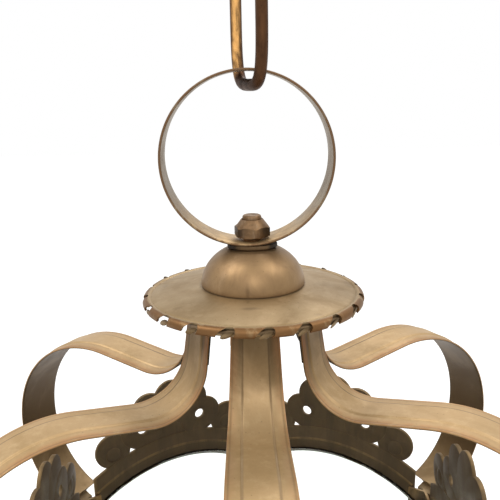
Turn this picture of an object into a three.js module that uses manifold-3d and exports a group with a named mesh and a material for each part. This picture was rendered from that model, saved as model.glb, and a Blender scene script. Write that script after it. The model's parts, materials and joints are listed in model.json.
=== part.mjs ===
// Hexagonal hall lantern that hangs on a chain link, with candles inside.
// Millimetres, +Z up, front towards -Y. Heights are drawn from the rim plane of the
// canopy disc, and the finished lantern is lowered so that the origin is its hanging point.

import * as THREE from 'three';
import { mergeVertices } from 'three/addons/utils/BufferGeometryUtils.js';
import Module from 'manifold-3d';

const wasm = await Module();
wasm.setup();

// Shared fits
const clearance = 0.3; // between pieces that touch
const panels = 6; // sides of the lantern, with an arm at each corner
const degree = Math.PI / 180;
const panelAngle = 360 * degree / panels;
const roundFaces = 36; // facets of a large round piece
const smallFaces = 14; // facets of a small round piece

// Chain link
const linkWire = 6;
const linkHalfLength = 37; // to the wire's centre
const linkHalfWidth = 18; // to the wire's centre
const linkTurn = 19.5 * degree; // the link's plane, from the line front to back
const linkRoundness = 4; // 2 is an ellipse, more is squarer

// Hanging ring, a flat band rolled round
const ringRadius = 44.2; // outside
const ringBand = 21;
const ringSheet = 1.3;
const ringOffset = -2; // the ring is bent a little off the stud's line
const ringRest = 28.7; // height of the ring's underside

// Centre stud and its nut
const studRadius = 5;
const studTop = 43.4;
const studEnd = -24;
const nutFlats = 17;
const nutHeight = 6.2;
const nutCone = 2.2; // height of the cone on the upper nut
const nutTurn = 12 * degree; // as the upper nut was left when it was tightened

// Saddle washer, dome cap and canopy disc
const saddleRadius = 13.2; // along the ring
const saddleDepth = 9; // the same across the ring
const saddleHeight = 2.4;
const domeRadius = 27.6;
const domeSwell = 22.2; // full height of the dome's ellipse, which is cut flat on top
const domeSheet = 1.4;
const discRadius = 59;
const discSheet = 1.2;
const discRise = 6.1; // dish, from the rolled edge to the middle
const edgeRoll = 2.6; // radius of the rolled edge
const edgeTop = 1.5; // of the rolled edge, above the rim plane
const edgeDrop = 2.4; // how far the rolled edge goes below the rim plane
const notchCount = 20;
const notchLength = 10.5;
const notchHeight = 7;
const notchSlant = 28 * degree;

// Spider plate, which carries the six arms
const spiderSheet = 2.5;
const spiderMargin = 4; // from the plate's round middle to the tabs' outer face
const tabWidth = 19;
const tabLength = 24;

// Arms: stepped strap, bent to an S
const armTopRadius = 33; // of the strap's centre line at its upper end
const armTopHeight = -6;
const armTopHeading = -82 * degree;
const armTopWidth = 23.6;
const armValleyWidth = 29.5;
const armFootWidth = 30;
const armWidest = 0.21; // share of the arm's length at which it is widest
const valleyRadius = 27;
const valleyRise = 9 * degree; // slope of the strap after the valley
const valleyDrop = 24;
const footReach = 3; // of the arm's end, out from the corner
const shoulderRadius = 67.5;
const shoulderEnd = -110 * degree;
const footRadius = 55;
const footHeading = -156 * degree;
const seatHeading = -150 * degree; // where the foot bears on its corner bracket
const strapBack = 1.2;
const strapEdge = 0.3;
const strapGroove = 0.1;
const strapBandTop = 0.9;
const strapFlatTop = 1.5;
const strapLip = 1.6;
const strapStep = 0.9;
const strapFlatShare = 0.5; // of the strap's width

// Hexagonal body
const cornerRadius = 140;
const bodyFace = cornerRadius * Math.cos(panelAngle / 2);
const postFlange = 12;
const postSheet = 1.8;
const postBead = 3.2;
const postTop = -173;
const glassHeight = 335; // from the posts' upper end to the base
const baseTop = postTop - glassHeight;
const bracketWidth = 14;
const bracketReach = 13.5; // of the bracket, out from the corner
const bracketDepth = 20;
const hollowEase = 7 * degree; // by which the bracket's hollow stops short of a quarter

// Arched rails with their cresting
const archEase = 30; // by which the arch's radius is more than half a side
const archRadius = cornerRadius / 2 + archEase;
const archPeak = -164;
const railBand = 20;
const railSheet = 2.4;
const railInset = 8.5; // from the corner to the rail's end
const railEnd = cornerRadius / 2 - railInset;
const railBead = 1.2;
const railBeadWidth = 4;
const lobeCount = 5;
const lobeSpread = 34 * degree;
const palmetteReach = 44;
const lobeLength = 16;
const lobeWidth = 12;
const palmetteRoot = 20;
const eyeOffset = 23;
const eyeHeight = 11;
const eyeRadius = 4.2;
const scrollInset = 15.5; // from the rail's end
const scrollRise = 10; // above the band's outer edge
const scrollRadius = 13;
const scrollHole = 5.5;
const scrollHoleDrop = 3; // below the scroll's middle

// Panes, door, hinges and turn button
const glassSheet = 2.5;
const paneInset = 4; // from the corner to the pane's edge
const paneHalf = cornerRadius / 2 - paneInset;
const paneLap = 4; // how far a pane goes up behind the arch's band
const doorGap = 0.7;
const doorBar = 9;
const doorSheet = 3;
const doorPanel = 0; // counted from the panel to the right of the front arm
const knuckleRadius = 2.6;
const hingePin = 1.3;
const knuckleLength = 10;
const hingeLeaf = 1.3;
const hingeInset = 68; // from the upper and lower ends of the posts
const hingeDrops = { upper_hinge: hingeInset, lower_hinge: glassHeight - hingeInset };
const buttonDrop = glassHeight / 2; // below the posts' upper end
const buttonLength = 15;
const buttonWidth = 7;
const buttonSheet = 1.6;
const buttonPin = 1.5;

// Base frame, pan and drop finial
const baseDepth = 13;
const baseProud = 6;
const ledgeReach = 20; // inward from the corner radius
const ledgeSheet = 2;
const panSheet = 1.4;
const panDrop = 26;
const panHole = 12;
const finialShank = 4;
const finialLength = 46;
const knopRadius = 11;
const knopDrop = 21; // of the knop's middle, below the finial's flange
const knopBelly = 62 * degree; // of its round side, above and below its middle
const finialNutFlats = 13;
const finialNutHeight = 6;

// Stem and candle cluster
const couplingRadius = 8;
const couplingLength = 24;
const couplingDepth = 9;
const rodRadius = 4;
const clusterHeight = -415; // of the candle arms where they leave the hub
const hubRadius = 13;
const hubHeight = 34;
const hubBelly = 42 * degree; // of the round belly, above and below its middle
const candleCount = 3;
const candleCircle = cornerRadius * 0.37;
const candleArmRadius = 3;
const candleArmDip = 14;
const candleArmRise = 12;
const dripRadius = 20;
const dripSheet = 1.2;
const cupRadius = 12;
const cupHeight = 24;
const cupWall = 1.4;
const candleRadius = 10;
const candleLength = 95;

// Finishes
const finish = (color, roughness, metalness) => (
  new THREE.MeshStandardMaterial({ color, roughness, metalness })
);
const agedBrass = finish(0xa98f68, 0.45, 0.9);
const goldBrass = finish(0xb39b76, 0.4, 0.9);
const copperSteel = finish(0x7a4f30, 0.5, 0.85);
const darkCast = finish(0x4d4231, 0.6, 0.8);
const blackIron = finish(0x2b2620, 0.7, 0.7);
const wornSteel = finish(0x7d6c56, 0.55, 0.85);
const clearGlass = finish(0xdfe6e2, 0.05, 0);
const ivoryWax = finish(0xe9dfc4, 0.5, 0);
const cottonWick = finish(0x3a342c, 0.9, 0);

// Geometry helpers

/** Welds the corners, leaves out empty triangles and turns the faces outward. */
function weld(geometry) {
  const bare = new THREE.BufferGeometry();
  bare.setAttribute('position', geometry.getAttribute('position').clone());
  bare.setIndex(geometry.index ? Array.from(geometry.index.array) : null);
  const welded = mergeVertices(bare, 1e-4);
  const corners = welded.index.array;
  const kept = [];
  for (let i = 0; i < corners.length; i += 3) {
    const [a, b, c] = corners.slice(i, i + 3);
    if (a !== b && b !== c && c !== a) kept.push(a, b, c);
  }
  if (volume(welded, kept) < 0) kept.reverse();
  welded.setIndex(kept);
  return welded;
}

/** Signed volume of a closed mesh. */
function volume(geometry, corners) {
  const place = geometry.getAttribute('position');
  const [a, b, c] = [new THREE.Vector3(), new THREE.Vector3(), new THREE.Vector3()];
  let sum = 0;
  for (let i = 0; i < corners.length; i += 3) {
    a.fromBufferAttribute(place, corners[i]);
    b.fromBufferAttribute(place, corners[i + 1]);
    c.fromBufferAttribute(place, corners[i + 2]);
    sum += a.dot(b.cross(c)) / 6;
  }
  return sum;
}

function toManifold(geometry) {
  const welded = weld(geometry);
  return new wasm.Manifold(new wasm.Mesh({
    numProp: 3,
    vertProperties: new Float32Array(welded.getAttribute('position').array),
    triVerts: new Uint32Array(welded.index.array),
  }));
}

function fromManifold(solid) {
  const mesh = solid.getMesh();
  const geometry = new THREE.BufferGeometry();
  geometry.setAttribute('position', new THREE.BufferAttribute(mesh.vertProperties, 3));
  geometry.setIndex(new THREE.BufferAttribute(mesh.triVerts, 1));
  return geometry;
}

/** One solid from several that meet. */
function join(...pieces) {
  return fromManifold(pieces.map(toManifold).reduce((sum, piece) => sum.add(piece)));
}

/** A solid with the tools' shapes cut out of it. */
function cut(body, ...tools) {
  return fromManifold(tools.map(toManifold).reduce((rest, tool) => rest.subtract(tool), toManifold(body)));
}

/** Turns a profile of [radius, height] points about the Z axis. */
function revolve(profile, faces = roundFaces) {
  const points = profile.map(([radius, height]) => new THREE.Vector2(radius, height));
  return weld(new THREE.LatheGeometry(points, faces).rotateX(Math.PI / 2));
}

/** Points of a round stretch of a profile, both ends included. */
function arc(centre, radius, from, to, steps) {
  return Array.from({ length: steps + 1 }, (_, i) => {
    const angle = from + (to - from) * i / steps;
    return [centre[0] + radius * Math.cos(angle), centre[1] + radius * Math.sin(angle)];
  });
}

function cylinder(radius, bottom, top, faces = smallFaces) {
  return revolve([[0, bottom], [radius, bottom], [radius, top], [0, top]], faces);
}

/** A box by its limits. */
function block(x, y, z) {
  const box = new THREE.BoxGeometry(x[1] - x[0], y[1] - y[0], z[1] - z[0]);
  return box.translate((x[0] + x[1]) / 2, (y[0] + y[1]) / 2, (z[0] + z[1]) / 2);
}

/** Skins a row of rings, closed on itself or capped at both ends. */
function loft(rings, loop, outline) {
  const count = rings[0].length;
  const faces = [];
  const spans = loop ? rings.length : rings.length - 1;
  for (let i = 0; i < spans; i += 1) {
    const near = i * count;
    const far = ((i + 1) % rings.length) * count;
    for (let j = 0; j < count; j += 1) {
      const k = (j + 1) % count;
      faces.push(near + j, near + k, far + k, near + j, far + k, far + j);
    }
  }
  if (!loop) {
    const end = (rings.length - 1) * count;
    const contour = outline.map(([x, y]) => new THREE.Vector2(x, y));
    for (const [a, b, c] of THREE.ShapeUtils.triangulateShape(contour, [])) {
      faces.push(c, b, a, end + a, end + b, end + c);
    }
  }
  const geometry = new THREE.BufferGeometry().setFromPoints(rings.flat());
  geometry.setIndex(faces);
  return weld(geometry);
}

/** A flat plate in a side of the lantern: drawn as [across, height], thick outward from a distance. */
function plate(shape, distance, thickness, arcSteps = 8) {
  const options = { depth: thickness, bevelEnabled: false, curveSegments: arcSteps };
  return new THREE.ExtrudeGeometry(shape, options).rotateX(Math.PI / 2).translate(0, -distance, 0);
}

/** A profile in an arm's own upright plane, drawn as [out, height], thick across. */
function fin(points, width) {
  const shape = new THREE.Shape(points.map(([out, height]) => new THREE.Vector2(out, height)));
  const solid = new THREE.ExtrudeGeometry(shape, { depth: width, bevelEnabled: false });
  return solid.translate(0, 0, -width / 2).rotateX(Math.PI / 2).rotateZ(-Math.PI / 2);
}

// Assembly
const lantern = new THREE.Group();

function add(name, geometry, material, turn = 0) {
  const piece = new THREE.Mesh(geometry, material);
  piece.name = name;
  piece.rotation.z = turn;
  lantern.add(piece);
  return piece;
}

// Hanging ring, with a hole for the stud
const ringInner = ringRadius - ringSheet;
const ringHeight = ringRest + ringRadius;
const ringSurface = (x) => Math.sqrt(ringInner ** 2 - (x - ringOffset) ** 2);

function hangingRing() {
  const half = ringBand / 2;
  const band = revolve([
    [ringInner, -half], [ringRadius, -half], [ringRadius, half], [ringInner, half], [ringInner, -half],
  ], 48);
  band.rotateX(Math.PI / 2).translate(ringOffset, 0, ringHeight);
  return cut(band, cylinder(studRadius + clearance, ringRest - 5, ringHeight));
}

// Chain link: an oval of round wire, seated on both edges of the ring's band
function linkPoint(angle) {
  const shape = (value) => Math.sign(value) * Math.abs(value) ** (2 / linkRoundness);
  return [linkHalfWidth * shape(Math.cos(angle)), linkHalfLength * shape(Math.sin(angle))];
}

function linkSeat() {
  const edge = ringBand / 2;
  const reach = linkWire / 2 + clearance * 2;
  const crossing = edge * Math.tan(linkTurn);
  const surface = ringHeight + ringSurface(crossing);
  let seat = Infinity;
  for (let angle = -90; angle < 0; angle += 0.5) {
    const [across, height] = linkPoint(angle * degree);
    const aside = across * Math.cos(linkTurn) - edge;
    if (Math.abs(aside) < reach) {
      seat = Math.min(seat, surface - height - Math.sqrt(reach ** 2 - aside ** 2));
    }
  }
  return seat;
}

const linkHeight = linkSeat();
const hangHeight = linkHeight + linkHalfLength - linkWire / 2;

function chainLink() {
  const steps = 32;
  const sides = 8;
  const rings = [];
  for (let i = 0; i < steps; i += 1) {
    const angle = (i + 0.5) / steps * 2 * Math.PI;
    const [across, height] = linkPoint(angle);
    const [ahead, above] = linkPoint(angle + 1e-3);
    const tangent = new THREE.Vector2(ahead - across, above - height).normalize();
    rings.push(Array.from({ length: sides }, (_, j) => {
      const around = j / sides * 2 * Math.PI;
      const out = Math.cos(around) * linkWire / 2;
      return new THREE.Vector3(
        Math.sin(around) * linkWire / 2,
        across + tangent.y * out,
        height - tangent.x * out,
      );
    }));
  }
  return loft(rings, true).rotateZ(linkTurn).translate(0, 0, linkHeight);
}

add('chain_link', chainLink(), copperSteel);
add('hanging_ring', hangingRing(), goldBrass);

// Centre stud with a rounded end, nut with chamfered corners, and saddle washer
const nutCorner = nutFlats / 2 / Math.cos(30 * degree);
const nutRest = ringHeight - ringSurface(nutCorner) + clearance;

function centreStud() {
  const crown = 1.6;
  return revolve([
    [0, studEnd], [studRadius - 1, studEnd], [studRadius, studEnd + 1], [studRadius, studTop - crown],
    [studRadius - 0.7, studTop - 0.5], [studRadius - 2.2, studTop], [0, studTop],
  ], smallFaces);
}

/** A hexagon nut with chamfered corners, a round bore and, where asked, a cone on top. */
function hexNut(flats, bottom, height, bolt, cone = 0) {
  const corner = flats / 2 / Math.cos(30 * degree);
  const chamfer = corner - flats / 2;
  const top = bottom + height;
  const prism = toManifold(cylinder(corner, bottom, top + cone, 6));
  const envelope = toManifold(revolve([
    [0, bottom], [flats / 2, bottom], [corner, bottom + chamfer * 0.6], [corner, top - chamfer],
    [flats / 2 - 1, top], [bolt + 1.6, top + cone + clearance], [0, top + cone + clearance],
  ], 18));
  const bore = toManifold(cylinder(bolt + clearance, bottom - 1, top + cone + 1));
  return fromManifold(prism.intersect(envelope).subtract(bore));
}

add('center_stud', centreStud(), wornSteel);
add('ring_nut', hexNut(nutFlats, nutRest, nutHeight, studRadius, nutCone), wornSteel, nutTurn);

const saddleTop = ringRest - clearance;
const domeTop = saddleTop - saddleHeight - clearance;

/** An oval plate, longer along the ring than across it. */
function saddleWasher() {
  const low = saddleTop - saddleHeight;
  const oval = revolve([
    [0, low], [saddleRadius - 1.2, low], [saddleRadius, low + 0.8], [saddleRadius, saddleTop - 0.6],
    [saddleRadius - 0.8, saddleTop], [0, saddleTop],
  ], 24).scale(1, saddleDepth / saddleRadius, 1);
  return cut(oval, cylinder(studRadius + clearance, low - 1, saddleTop + 1));
}

add('saddle_washer', saddleWasher(), blackIron);

// Canopy disc: dished, with its edge rolled down and notched on the slant
const rollRadius = discRadius - edgeRoll;
const rollHeight = edgeTop - edgeRoll; // of the roll's centre
const dish = (radius) => edgeTop + discRise * (1 - (radius / rollRadius) ** 2);

function canopyDisc() {
  const bore = studRadius + clearance;
  const dishSteps = 2;
  const top = [];
  for (let i = 0; i <= dishSteps; i += 1) {
    const radius = bore + (rollRadius - bore) * i / dishSteps;
    top.push([radius, dish(radius)]);
  }
  const lowEdge = -Math.asin((edgeDrop + rollHeight) / edgeRoll);
  const turnDown = 75 * degree;
  const roll = arc([rollRadius, rollHeight], edgeRoll, turnDown, lowEdge, 3);
  const inside = arc([rollRadius, rollHeight], edgeRoll - discSheet, lowEdge, turnDown, 1);
  const under = top.map(([radius, height]) => [radius, height - discSheet]).reverse();
  const body = revolve([...top, ...roll, ...inside, ...under, top[0]], notchCount * 2);
  const notches = [];
  for (let i = 0; i < notchCount; i += 1) {
    const notch = new THREE.CylinderGeometry(1, 1, 12, 6);
    notch.scale(notchLength / 2, 1, notchHeight / 2).rotateY(-notchSlant);
    notch.translate(0, -discRadius, -edgeDrop).rotateZ((i + 0.22) / notchCount * 2 * Math.PI);
    notches.push(notch);
  }
  return cut(body, ...notches);
}

add('canopy_disc', canopyDisc(), goldBrass);

// Dome cap on the disc
function domeCap() {
  const base = dish(domeRadius) + clearance;
  const swell = (radius, height, top, steps) => {
    const start = Math.asin(Math.min(1, (top - base) / height));
    return Array.from({ length: steps + 1 }, (_, i) => {
      const angle = start * (1 - i / steps);
      return [radius * Math.cos(angle), base + height * Math.sin(angle)];
    });
  };
  const outer = swell(domeRadius, domeSwell, domeTop, 5);
  const inner = swell(domeRadius - domeSheet, domeSwell - domeSheet, domeTop - domeSheet, 3).reverse();
  const bore = studRadius + clearance;
  return revolve([[bore, domeTop], ...outer, ...inner, [bore, domeTop - domeSheet], [bore, domeTop]]);
}

add('dome_cap', domeCap(), agedBrass);

// Spider plate under the disc, with a tab turned down behind each arm
const tabFace = armTopRadius - strapBack / Math.cos(armTopHeading + 90 * degree) - clearance;
const armLean = armTopHeading + 90 * degree;
const spiderTop = dish(tabFace) - discSheet - clearance;

function spider() {
  const bottom = spiderTop - spiderSheet;
  const hub = cylinder(tabFace - spiderMargin, bottom, spiderTop, roundFaces);
  const pieces = [hub];
  for (let i = 0; i < panels; i += 1) {
    const inner = tabFace - spiderSheet;
    const lean = Math.tan(armLean);
    const tip = armTopHeight - tabLength;
    const tab = fin([
      [inner - 8, bottom], [inner, bottom], [inner + lean * (bottom - tip) - 0.6, tip],
      [tabFace + lean * (armTopHeight - tip), tip], [tabFace, armTopHeight], [tabFace, spiderTop],
      [inner - 8, spiderTop],
    ], tabWidth);
    pieces.push(tab.rotateZ(i * panelAngle));
  }
  return cut(join(...pieces), cylinder(studRadius + clearance, bottom - 1, spiderTop + 1));
}

add('arm_spider', spider(), blackIron);
const hubNutTop = spiderTop - spiderSheet - clearance;
add('hub_nut', hexNut(nutFlats, hubNutTop - nutHeight, nutHeight, studRadius), wornSteel);

// Arms: a strap of stepped section, bent along straights and arcs
function strapSection(width) {
  const half = width / 2;
  const flat = half * strapFlatShare;
  return [
    [-half, -strapBack], [half, -strapBack], [half, strapEdge], [half - strapLip, strapGroove],
    [flat + strapStep, strapBandTop], [flat, strapFlatTop], [-flat, strapFlatTop],
    [-flat - strapStep, strapBandTop], [-half + strapLip, strapGroove], [-half, strapEdge],
  ];
}

/** Stations of a bent strap: [out, height, heading], from stretches that are straight or round. */
function bend(start, heading, stretches) {
  const stations = [[...start, heading]];
  for (const { length, radius, to, steps } of stretches) {
    const [out, height, from] = stations[stations.length - 1];
    if (radius === undefined) {
      stations.push([out + length * Math.cos(from), height + length * Math.sin(from), from]);
    } else {
      const side = Math.sign(to - from) * radius;
      for (let i = 1; i <= steps; i += 1) {
        const now = from + (to - from) * i / steps;
        stations.push([
          out + side * (Math.sin(now) - Math.sin(from)),
          height - side * (Math.cos(now) - Math.cos(from)),
          now,
        ]);
      }
    }
  }
  return stations;
}

function armBend(crestLength) {
  return bend([armTopRadius, armTopHeight], armTopHeading, [
    { length: valleyDrop },
    { radius: valleyRadius, to: valleyRise, steps: 7 },
    { length: crestLength },
    { radius: shoulderRadius, to: shoulderEnd, steps: 9 },
    { radius: footRadius, to: footHeading, steps: 4 },
  ]);
}

// The straight on the crest is as long as the foot needs to reach its corner
const bareReach = armBend(0).at(-1)[0];
const armStations = armBend((cornerRadius + footReach - bareReach) / Math.cos(valleyRise));

/** Width of the strap at a share of its length. */
function armWidth(share) {
  return share < armWidest
    ? THREE.MathUtils.mapLinear(share, 0, armWidest, armTopWidth, armValleyWidth)
    : THREE.MathUtils.mapLinear(share, armWidest, 1, armValleyWidth, armFootWidth);
}

function arm() {
  const travel = [0];
  for (let i = 1; i < armStations.length; i += 1) {
    const [a, b] = [armStations[i - 1], armStations[i]];
    travel.push(travel[i - 1] + Math.hypot(b[0] - a[0], b[1] - a[1]));
  }
  const total = travel[travel.length - 1];
  const rings = armStations.map(([out, height, heading], i) => {
    return strapSection(armWidth(travel[i] / total)).map(([across, proud]) => new THREE.Vector3(
      across,
      -(out - proud * Math.sin(heading)),
      height + proud * Math.cos(heading),
    ));
  });
  return loft(rings, false, strapSection(armTopWidth));
}

for (let i = 0; i < panels; i += 1) {
  add(`arm_${i + 1}`, arm(), goldBrass, i * panelAngle);
}

// Corner posts: folded angle with a bead along its edge and a bracket under the arm's foot
const footEnd = armStations[armStations.length - 1];
const footCentre = [
  footEnd[0] + footRadius * Math.sin(footEnd[2]),
  footEnd[1] - footRadius * Math.cos(footEnd[2]),
];
const seatOffset = footRadius + strapFlatTop + clearance;

function bracket() {
  const [sine, cosine] = [Math.sin(seatHeading), Math.cos(seatHeading)];
  const seat = [footCentre[0] - seatOffset * sine, footCentre[1] + seatOffset * cosine];
  const along = (distance) => [seat[0] + distance * cosine, seat[1] + distance * sine];
  const tip = cornerRadius + bracketReach;
  const outer = along((tip - seat[0]) / cosine);
  const inner = along((cornerRadius + 1.5 - seat[0]) / cosine);
  const back = cornerRadius - 1;
  const foot = inner[1] - bracketDepth;
  const [low, high] = [90 * degree + hollowEase, 180 * degree - hollowEase];
  const hollow = arc([tip, foot - 1], bracketReach - 2, low, high, 5);
  return fin([
    [back, foot], [cornerRadius + 1, foot], ...hollow.reverse(), [tip, outer[1] - 3], outer, inner,
    [back, inner[1] - 1],
  ], bracketWidth);
}

function cornerPost() {
  const side = panelAngle / 2;
  const flange = new THREE.Vector2(Math.cos(side), Math.sin(side)).multiplyScalar(postFlange);
  const inward = new THREE.Vector2(-Math.sin(side), Math.cos(side)).multiplyScalar(postSheet);
  const angle = new THREE.Shape([
    new THREE.Vector2(0, -cornerRadius),
    new THREE.Vector2(flange.x, flange.y - cornerRadius),
    new THREE.Vector2(flange.x + inward.x, flange.y + inward.y - cornerRadius),
    new THREE.Vector2(0, postSheet / Math.cos(side) - cornerRadius),
    new THREE.Vector2(-flange.x - inward.x, flange.y + inward.y - cornerRadius),
    new THREE.Vector2(-flange.x, flange.y - cornerRadius),
  ]);
  const bottom = baseTop + clearance;
  const fold = new THREE.ExtrudeGeometry(angle, { depth: postTop - bottom, bevelEnabled: false });
  fold.translate(0, 0, bottom);
  const bead = cylinder(postBead, bottom, postTop - bracketDepth / 2, 12).translate(0, -cornerRadius, 0);
  return join(fold, bead, bracket());
}

for (let i = 0; i < panels; i += 1) {
  add(`corner_post_${i + 1}`, cornerPost(), agedBrass, i * panelAngle);
}

// Arched rails with a palmette and two scrolls
const archCentre = archPeak - archRadius;

/** Outline with an upright side at each end and a round top. */
function archedOutline(half, radius, bottom) {
  const start = Math.acos(half / radius);
  const outline = new THREE.Shape();
  outline.moveTo(-half, bottom);
  outline.lineTo(half, bottom);
  outline.absarc(0, archCentre, radius, start, Math.PI - start, false);
  outline.closePath();
  return outline;
}

function bandOutline(inner, outer) {
  const [low, high] = [Math.acos(railEnd / inner), Math.acos(railEnd / outer)];
  const outline = new THREE.Shape();
  outline.absarc(0, archCentre, outer, high, Math.PI - high, false);
  outline.absarc(0, archCentre, inner, Math.PI - low, low, true);
  outline.closePath();
  return outline;
}

function ovalOutline(x, z, across, up, turn = 0) {
  const outline = new THREE.Shape();
  outline.absellipse(x, z, across, up, 0, 2 * Math.PI, false, turn);
  return outline;
}

const railFace = bodyFace + clearance;
const railCrown = archPeak + railBand;

function archedRail() {
  const outer = archRadius + railBand;
  const middle = (archRadius + outer) / 2;
  const scrollAcross = railEnd - scrollInset;
  const scrollHeight = archCentre + Math.sqrt(outer ** 2 - scrollAcross ** 2) + scrollRise;
  const pieces = [
    plate(bandOutline(archRadius, outer), railFace, railSheet, 5),
    plate(
      bandOutline(middle - railBeadWidth / 2, middle + railBeadWidth / 2),
      railFace + railSheet / 2, railSheet / 2 + railBead, 5,
    ),
    plate(ovalOutline(0, railCrown, palmetteRoot, palmetteRoot), railFace, railSheet, 4),
  ];
  for (let i = 0; i < lobeCount; i += 1) {
    const turn = (i - (lobeCount - 1) / 2) * lobeSpread;
    const reach = (palmetteReach - lobeLength) * (1 - 0.06 * Math.abs(turn));
    const lobe = ovalOutline(
      reach * Math.sin(turn), railCrown + reach * Math.cos(turn), lobeWidth, lobeLength, -turn,
    );
    pieces.push(plate(lobe, railFace, railSheet, 4));
  }
  const holes = [];
  for (const side of [-1, 1]) {
    const scroll = ovalOutline(side * scrollAcross, scrollHeight, scrollRadius, scrollRadius);
    pieces.push(plate(scroll, railFace, railSheet, 5));
    const thick = railSheet + 2;
    const scrollEye = ovalOutline(
      side * scrollAcross, scrollHeight - scrollHoleDrop, scrollHole, scrollHole,
    );
    holes.push(plate(scrollEye, railFace - 1, thick, 3));
    const leafEye = ovalOutline(side * eyeOffset, railCrown + eyeHeight, eyeRadius, eyeRadius);
    holes.push(plate(leafEye, railFace - 1, thick, 3));
  }
  return cut(join(...pieces), ...holes);
}

const sideTurn = (i) => (i + 0.5) * panelAngle;

for (let i = 0; i < panels; i += 1) {
  add(`arched_rail_${i + 1}`, archedRail(), darkCast, sideTurn(i));
}

// Fixed panes behind the posts' flanges
const paneFace = bodyFace - postSheet - clearance;
const paneBottom = baseTop + clearance;

function pane() {
  const outline = archedOutline(paneHalf, archRadius + paneLap, paneBottom);
  return plate(outline, paneFace - glassSheet, glassSheet);
}

for (let i = 0; i < panels; i += 1) {
  if (i !== doorPanel) add(`glass_pane_${i + 1}`, pane(), clearGlass, sideTurn(i));
}

// Door: arched frame and glass, with a knuckle for each hinge
const doorHalf = bodyFace * Math.tan(panelAngle / 2) - postFlange - doorGap;
const doorTop = archRadius - doorGap * 2;
const doorBottom = baseTop + doorGap;
const doorBack = bodyFace + 0.5 - doorSheet;
const hingeAcross = doorHalf + doorGap + knuckleRadius;
const hingeOut = bodyFace + clearance + knuckleRadius;
const leafBack = bodyFace + clearance;

function knuckle(centre, length, faces = 12) {
  return cylinder(knuckleRadius, centre - length / 2, centre + length / 2, faces)
    .translate(hingeAcross, -hingeOut, 0);
}

function doorFrame() {
  const outline = archedOutline(doorHalf, doorTop, doorBottom);
  outline.holes.push(archedOutline(doorHalf - doorBar, doorTop - doorBar, doorBottom + doorBar));
  const pieces = [plate(outline, doorBack, doorSheet)];
  const bores = [];
  for (const drop of Object.values(hingeDrops)) {
    const height = postTop - drop;
    const half = knuckleLength / 2;
    pieces.push(knuckle(height, knuckleLength));
    pieces.push(block(
      [hingeAcross - 14, hingeAcross], [-leafBack - hingeLeaf, -leafBack], [height - half, height + half],
    ));
    bores.push(cylinder(hingePin + clearance, height - knuckleLength, height + knuckleLength, 12)
      .translate(hingeAcross, -hingeOut, 0));
  }
  return cut(join(...pieces), ...bores);
}

add('door_frame', doorFrame(), agedBrass, sideTurn(doorPanel));

function doorGlass() {
  const half = doorHalf - doorBar / 2;
  const outline = archedOutline(half, doorTop - doorBar / 2, doorBottom + doorBar / 2);
  return plate(outline, doorBack - clearance - glassSheet, glassSheet);
}

add('door_glass', doorGlass(), clearGlass, sideTurn(doorPanel));

// Hinges: the post's leaf with its two knuckles and the pin
function hinge(drop) {
  const height = postTop - drop;
  const apart = knuckleLength + clearance;
  const leafEnd = cornerRadius / 2 - postBead - clearance * 2;
  return join(
    knuckle(height + apart, knuckleLength),
    knuckle(height - apart, knuckleLength),
    cylinder(hingePin, height - apart, height + apart, 12).translate(hingeAcross, -hingeOut, 0),
    ...[-1, 1].map((side) => block(
      [hingeAcross, leafEnd], [-leafBack - hingeLeaf, -leafBack],
      [height + side * apart - knuckleLength / 2, height + side * apart + knuckleLength / 2],
    )),
    block(
      [hingeAcross + knuckleRadius + clearance, leafEnd], [-leafBack - hingeLeaf, -leafBack],
      [height - apart, height + apart],
    ),
  );
}

for (const [name, drop] of Object.entries(hingeDrops)) {
  add(name, hinge(drop), agedBrass, sideTurn(doorPanel));
}

// Turn button on the other post of the door, hanging down beside the door at rest
const buttonAcross = -(doorHalf + doorGap + 0.6 + buttonWidth / 2);
const buttonHeight = postTop - buttonDrop;
const buttonBack = doorBack + doorSheet + clearance;

function turnButton() {
  const half = buttonWidth / 2;
  const outline = new THREE.Shape();
  outline.absarc(buttonAcross, buttonHeight, half, 0, Math.PI, false);
  outline.absarc(buttonAcross, buttonHeight - buttonLength + half, half * 0.7, Math.PI, 2 * Math.PI, false);
  outline.closePath();
  const hole = new THREE.Path();
  hole.absarc(buttonAcross, buttonHeight, buttonPin + clearance, 0, 2 * Math.PI, true);
  outline.holes.push(hole);
  return plate(outline, buttonBack, buttonSheet, 6);
}

/** A round pin that stands out of a side of the lantern. */
function sidePin(profile, across, height, faces = 14) {
  return revolve(profile, faces).rotateX(Math.PI / 2).translate(across, 0, height);
}

function buttonRivet() {
  const foot = bodyFace + clearance;
  const neck = buttonBack + buttonSheet + clearance;
  return sidePin([
    [0, foot], [buttonPin + 1, foot], [buttonPin + 1, buttonBack - clearance],
    [buttonPin, buttonBack - clearance], [buttonPin, neck], [buttonPin + 1.3, neck],
    [buttonPin + 0.8, neck + 1.1], [0, neck + 1.4],
  ], buttonAcross, buttonHeight);
}

add('turn_button', turnButton(), agedBrass, sideTurn(doorPanel));
add('button_rivet', buttonRivet(), agedBrass, sideTurn(doorPanel));

// Base frame: a moulded hexagon with a ledge for the pan
const baseBottom = baseTop - baseDepth;
const ledgeInner = cornerRadius - ledgeReach;
const ledgeTop = baseBottom + ledgeSheet;

function baseFrame() {
  const outer = cornerRadius + baseProud;
  const wall = cornerRadius - ledgeReach + 4;
  return revolve([
    [wall, baseTop], [cornerRadius + 1, baseTop], [cornerRadius + 2, baseTop - 3],
    [outer - 1, baseTop - 5], [outer, baseTop - 7], [outer, baseTop - 10], [outer - 3, baseBottom],
    [ledgeInner, baseBottom], [ledgeInner, ledgeTop], [wall, ledgeTop], [wall, baseTop],
  ], panels);
}

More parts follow.
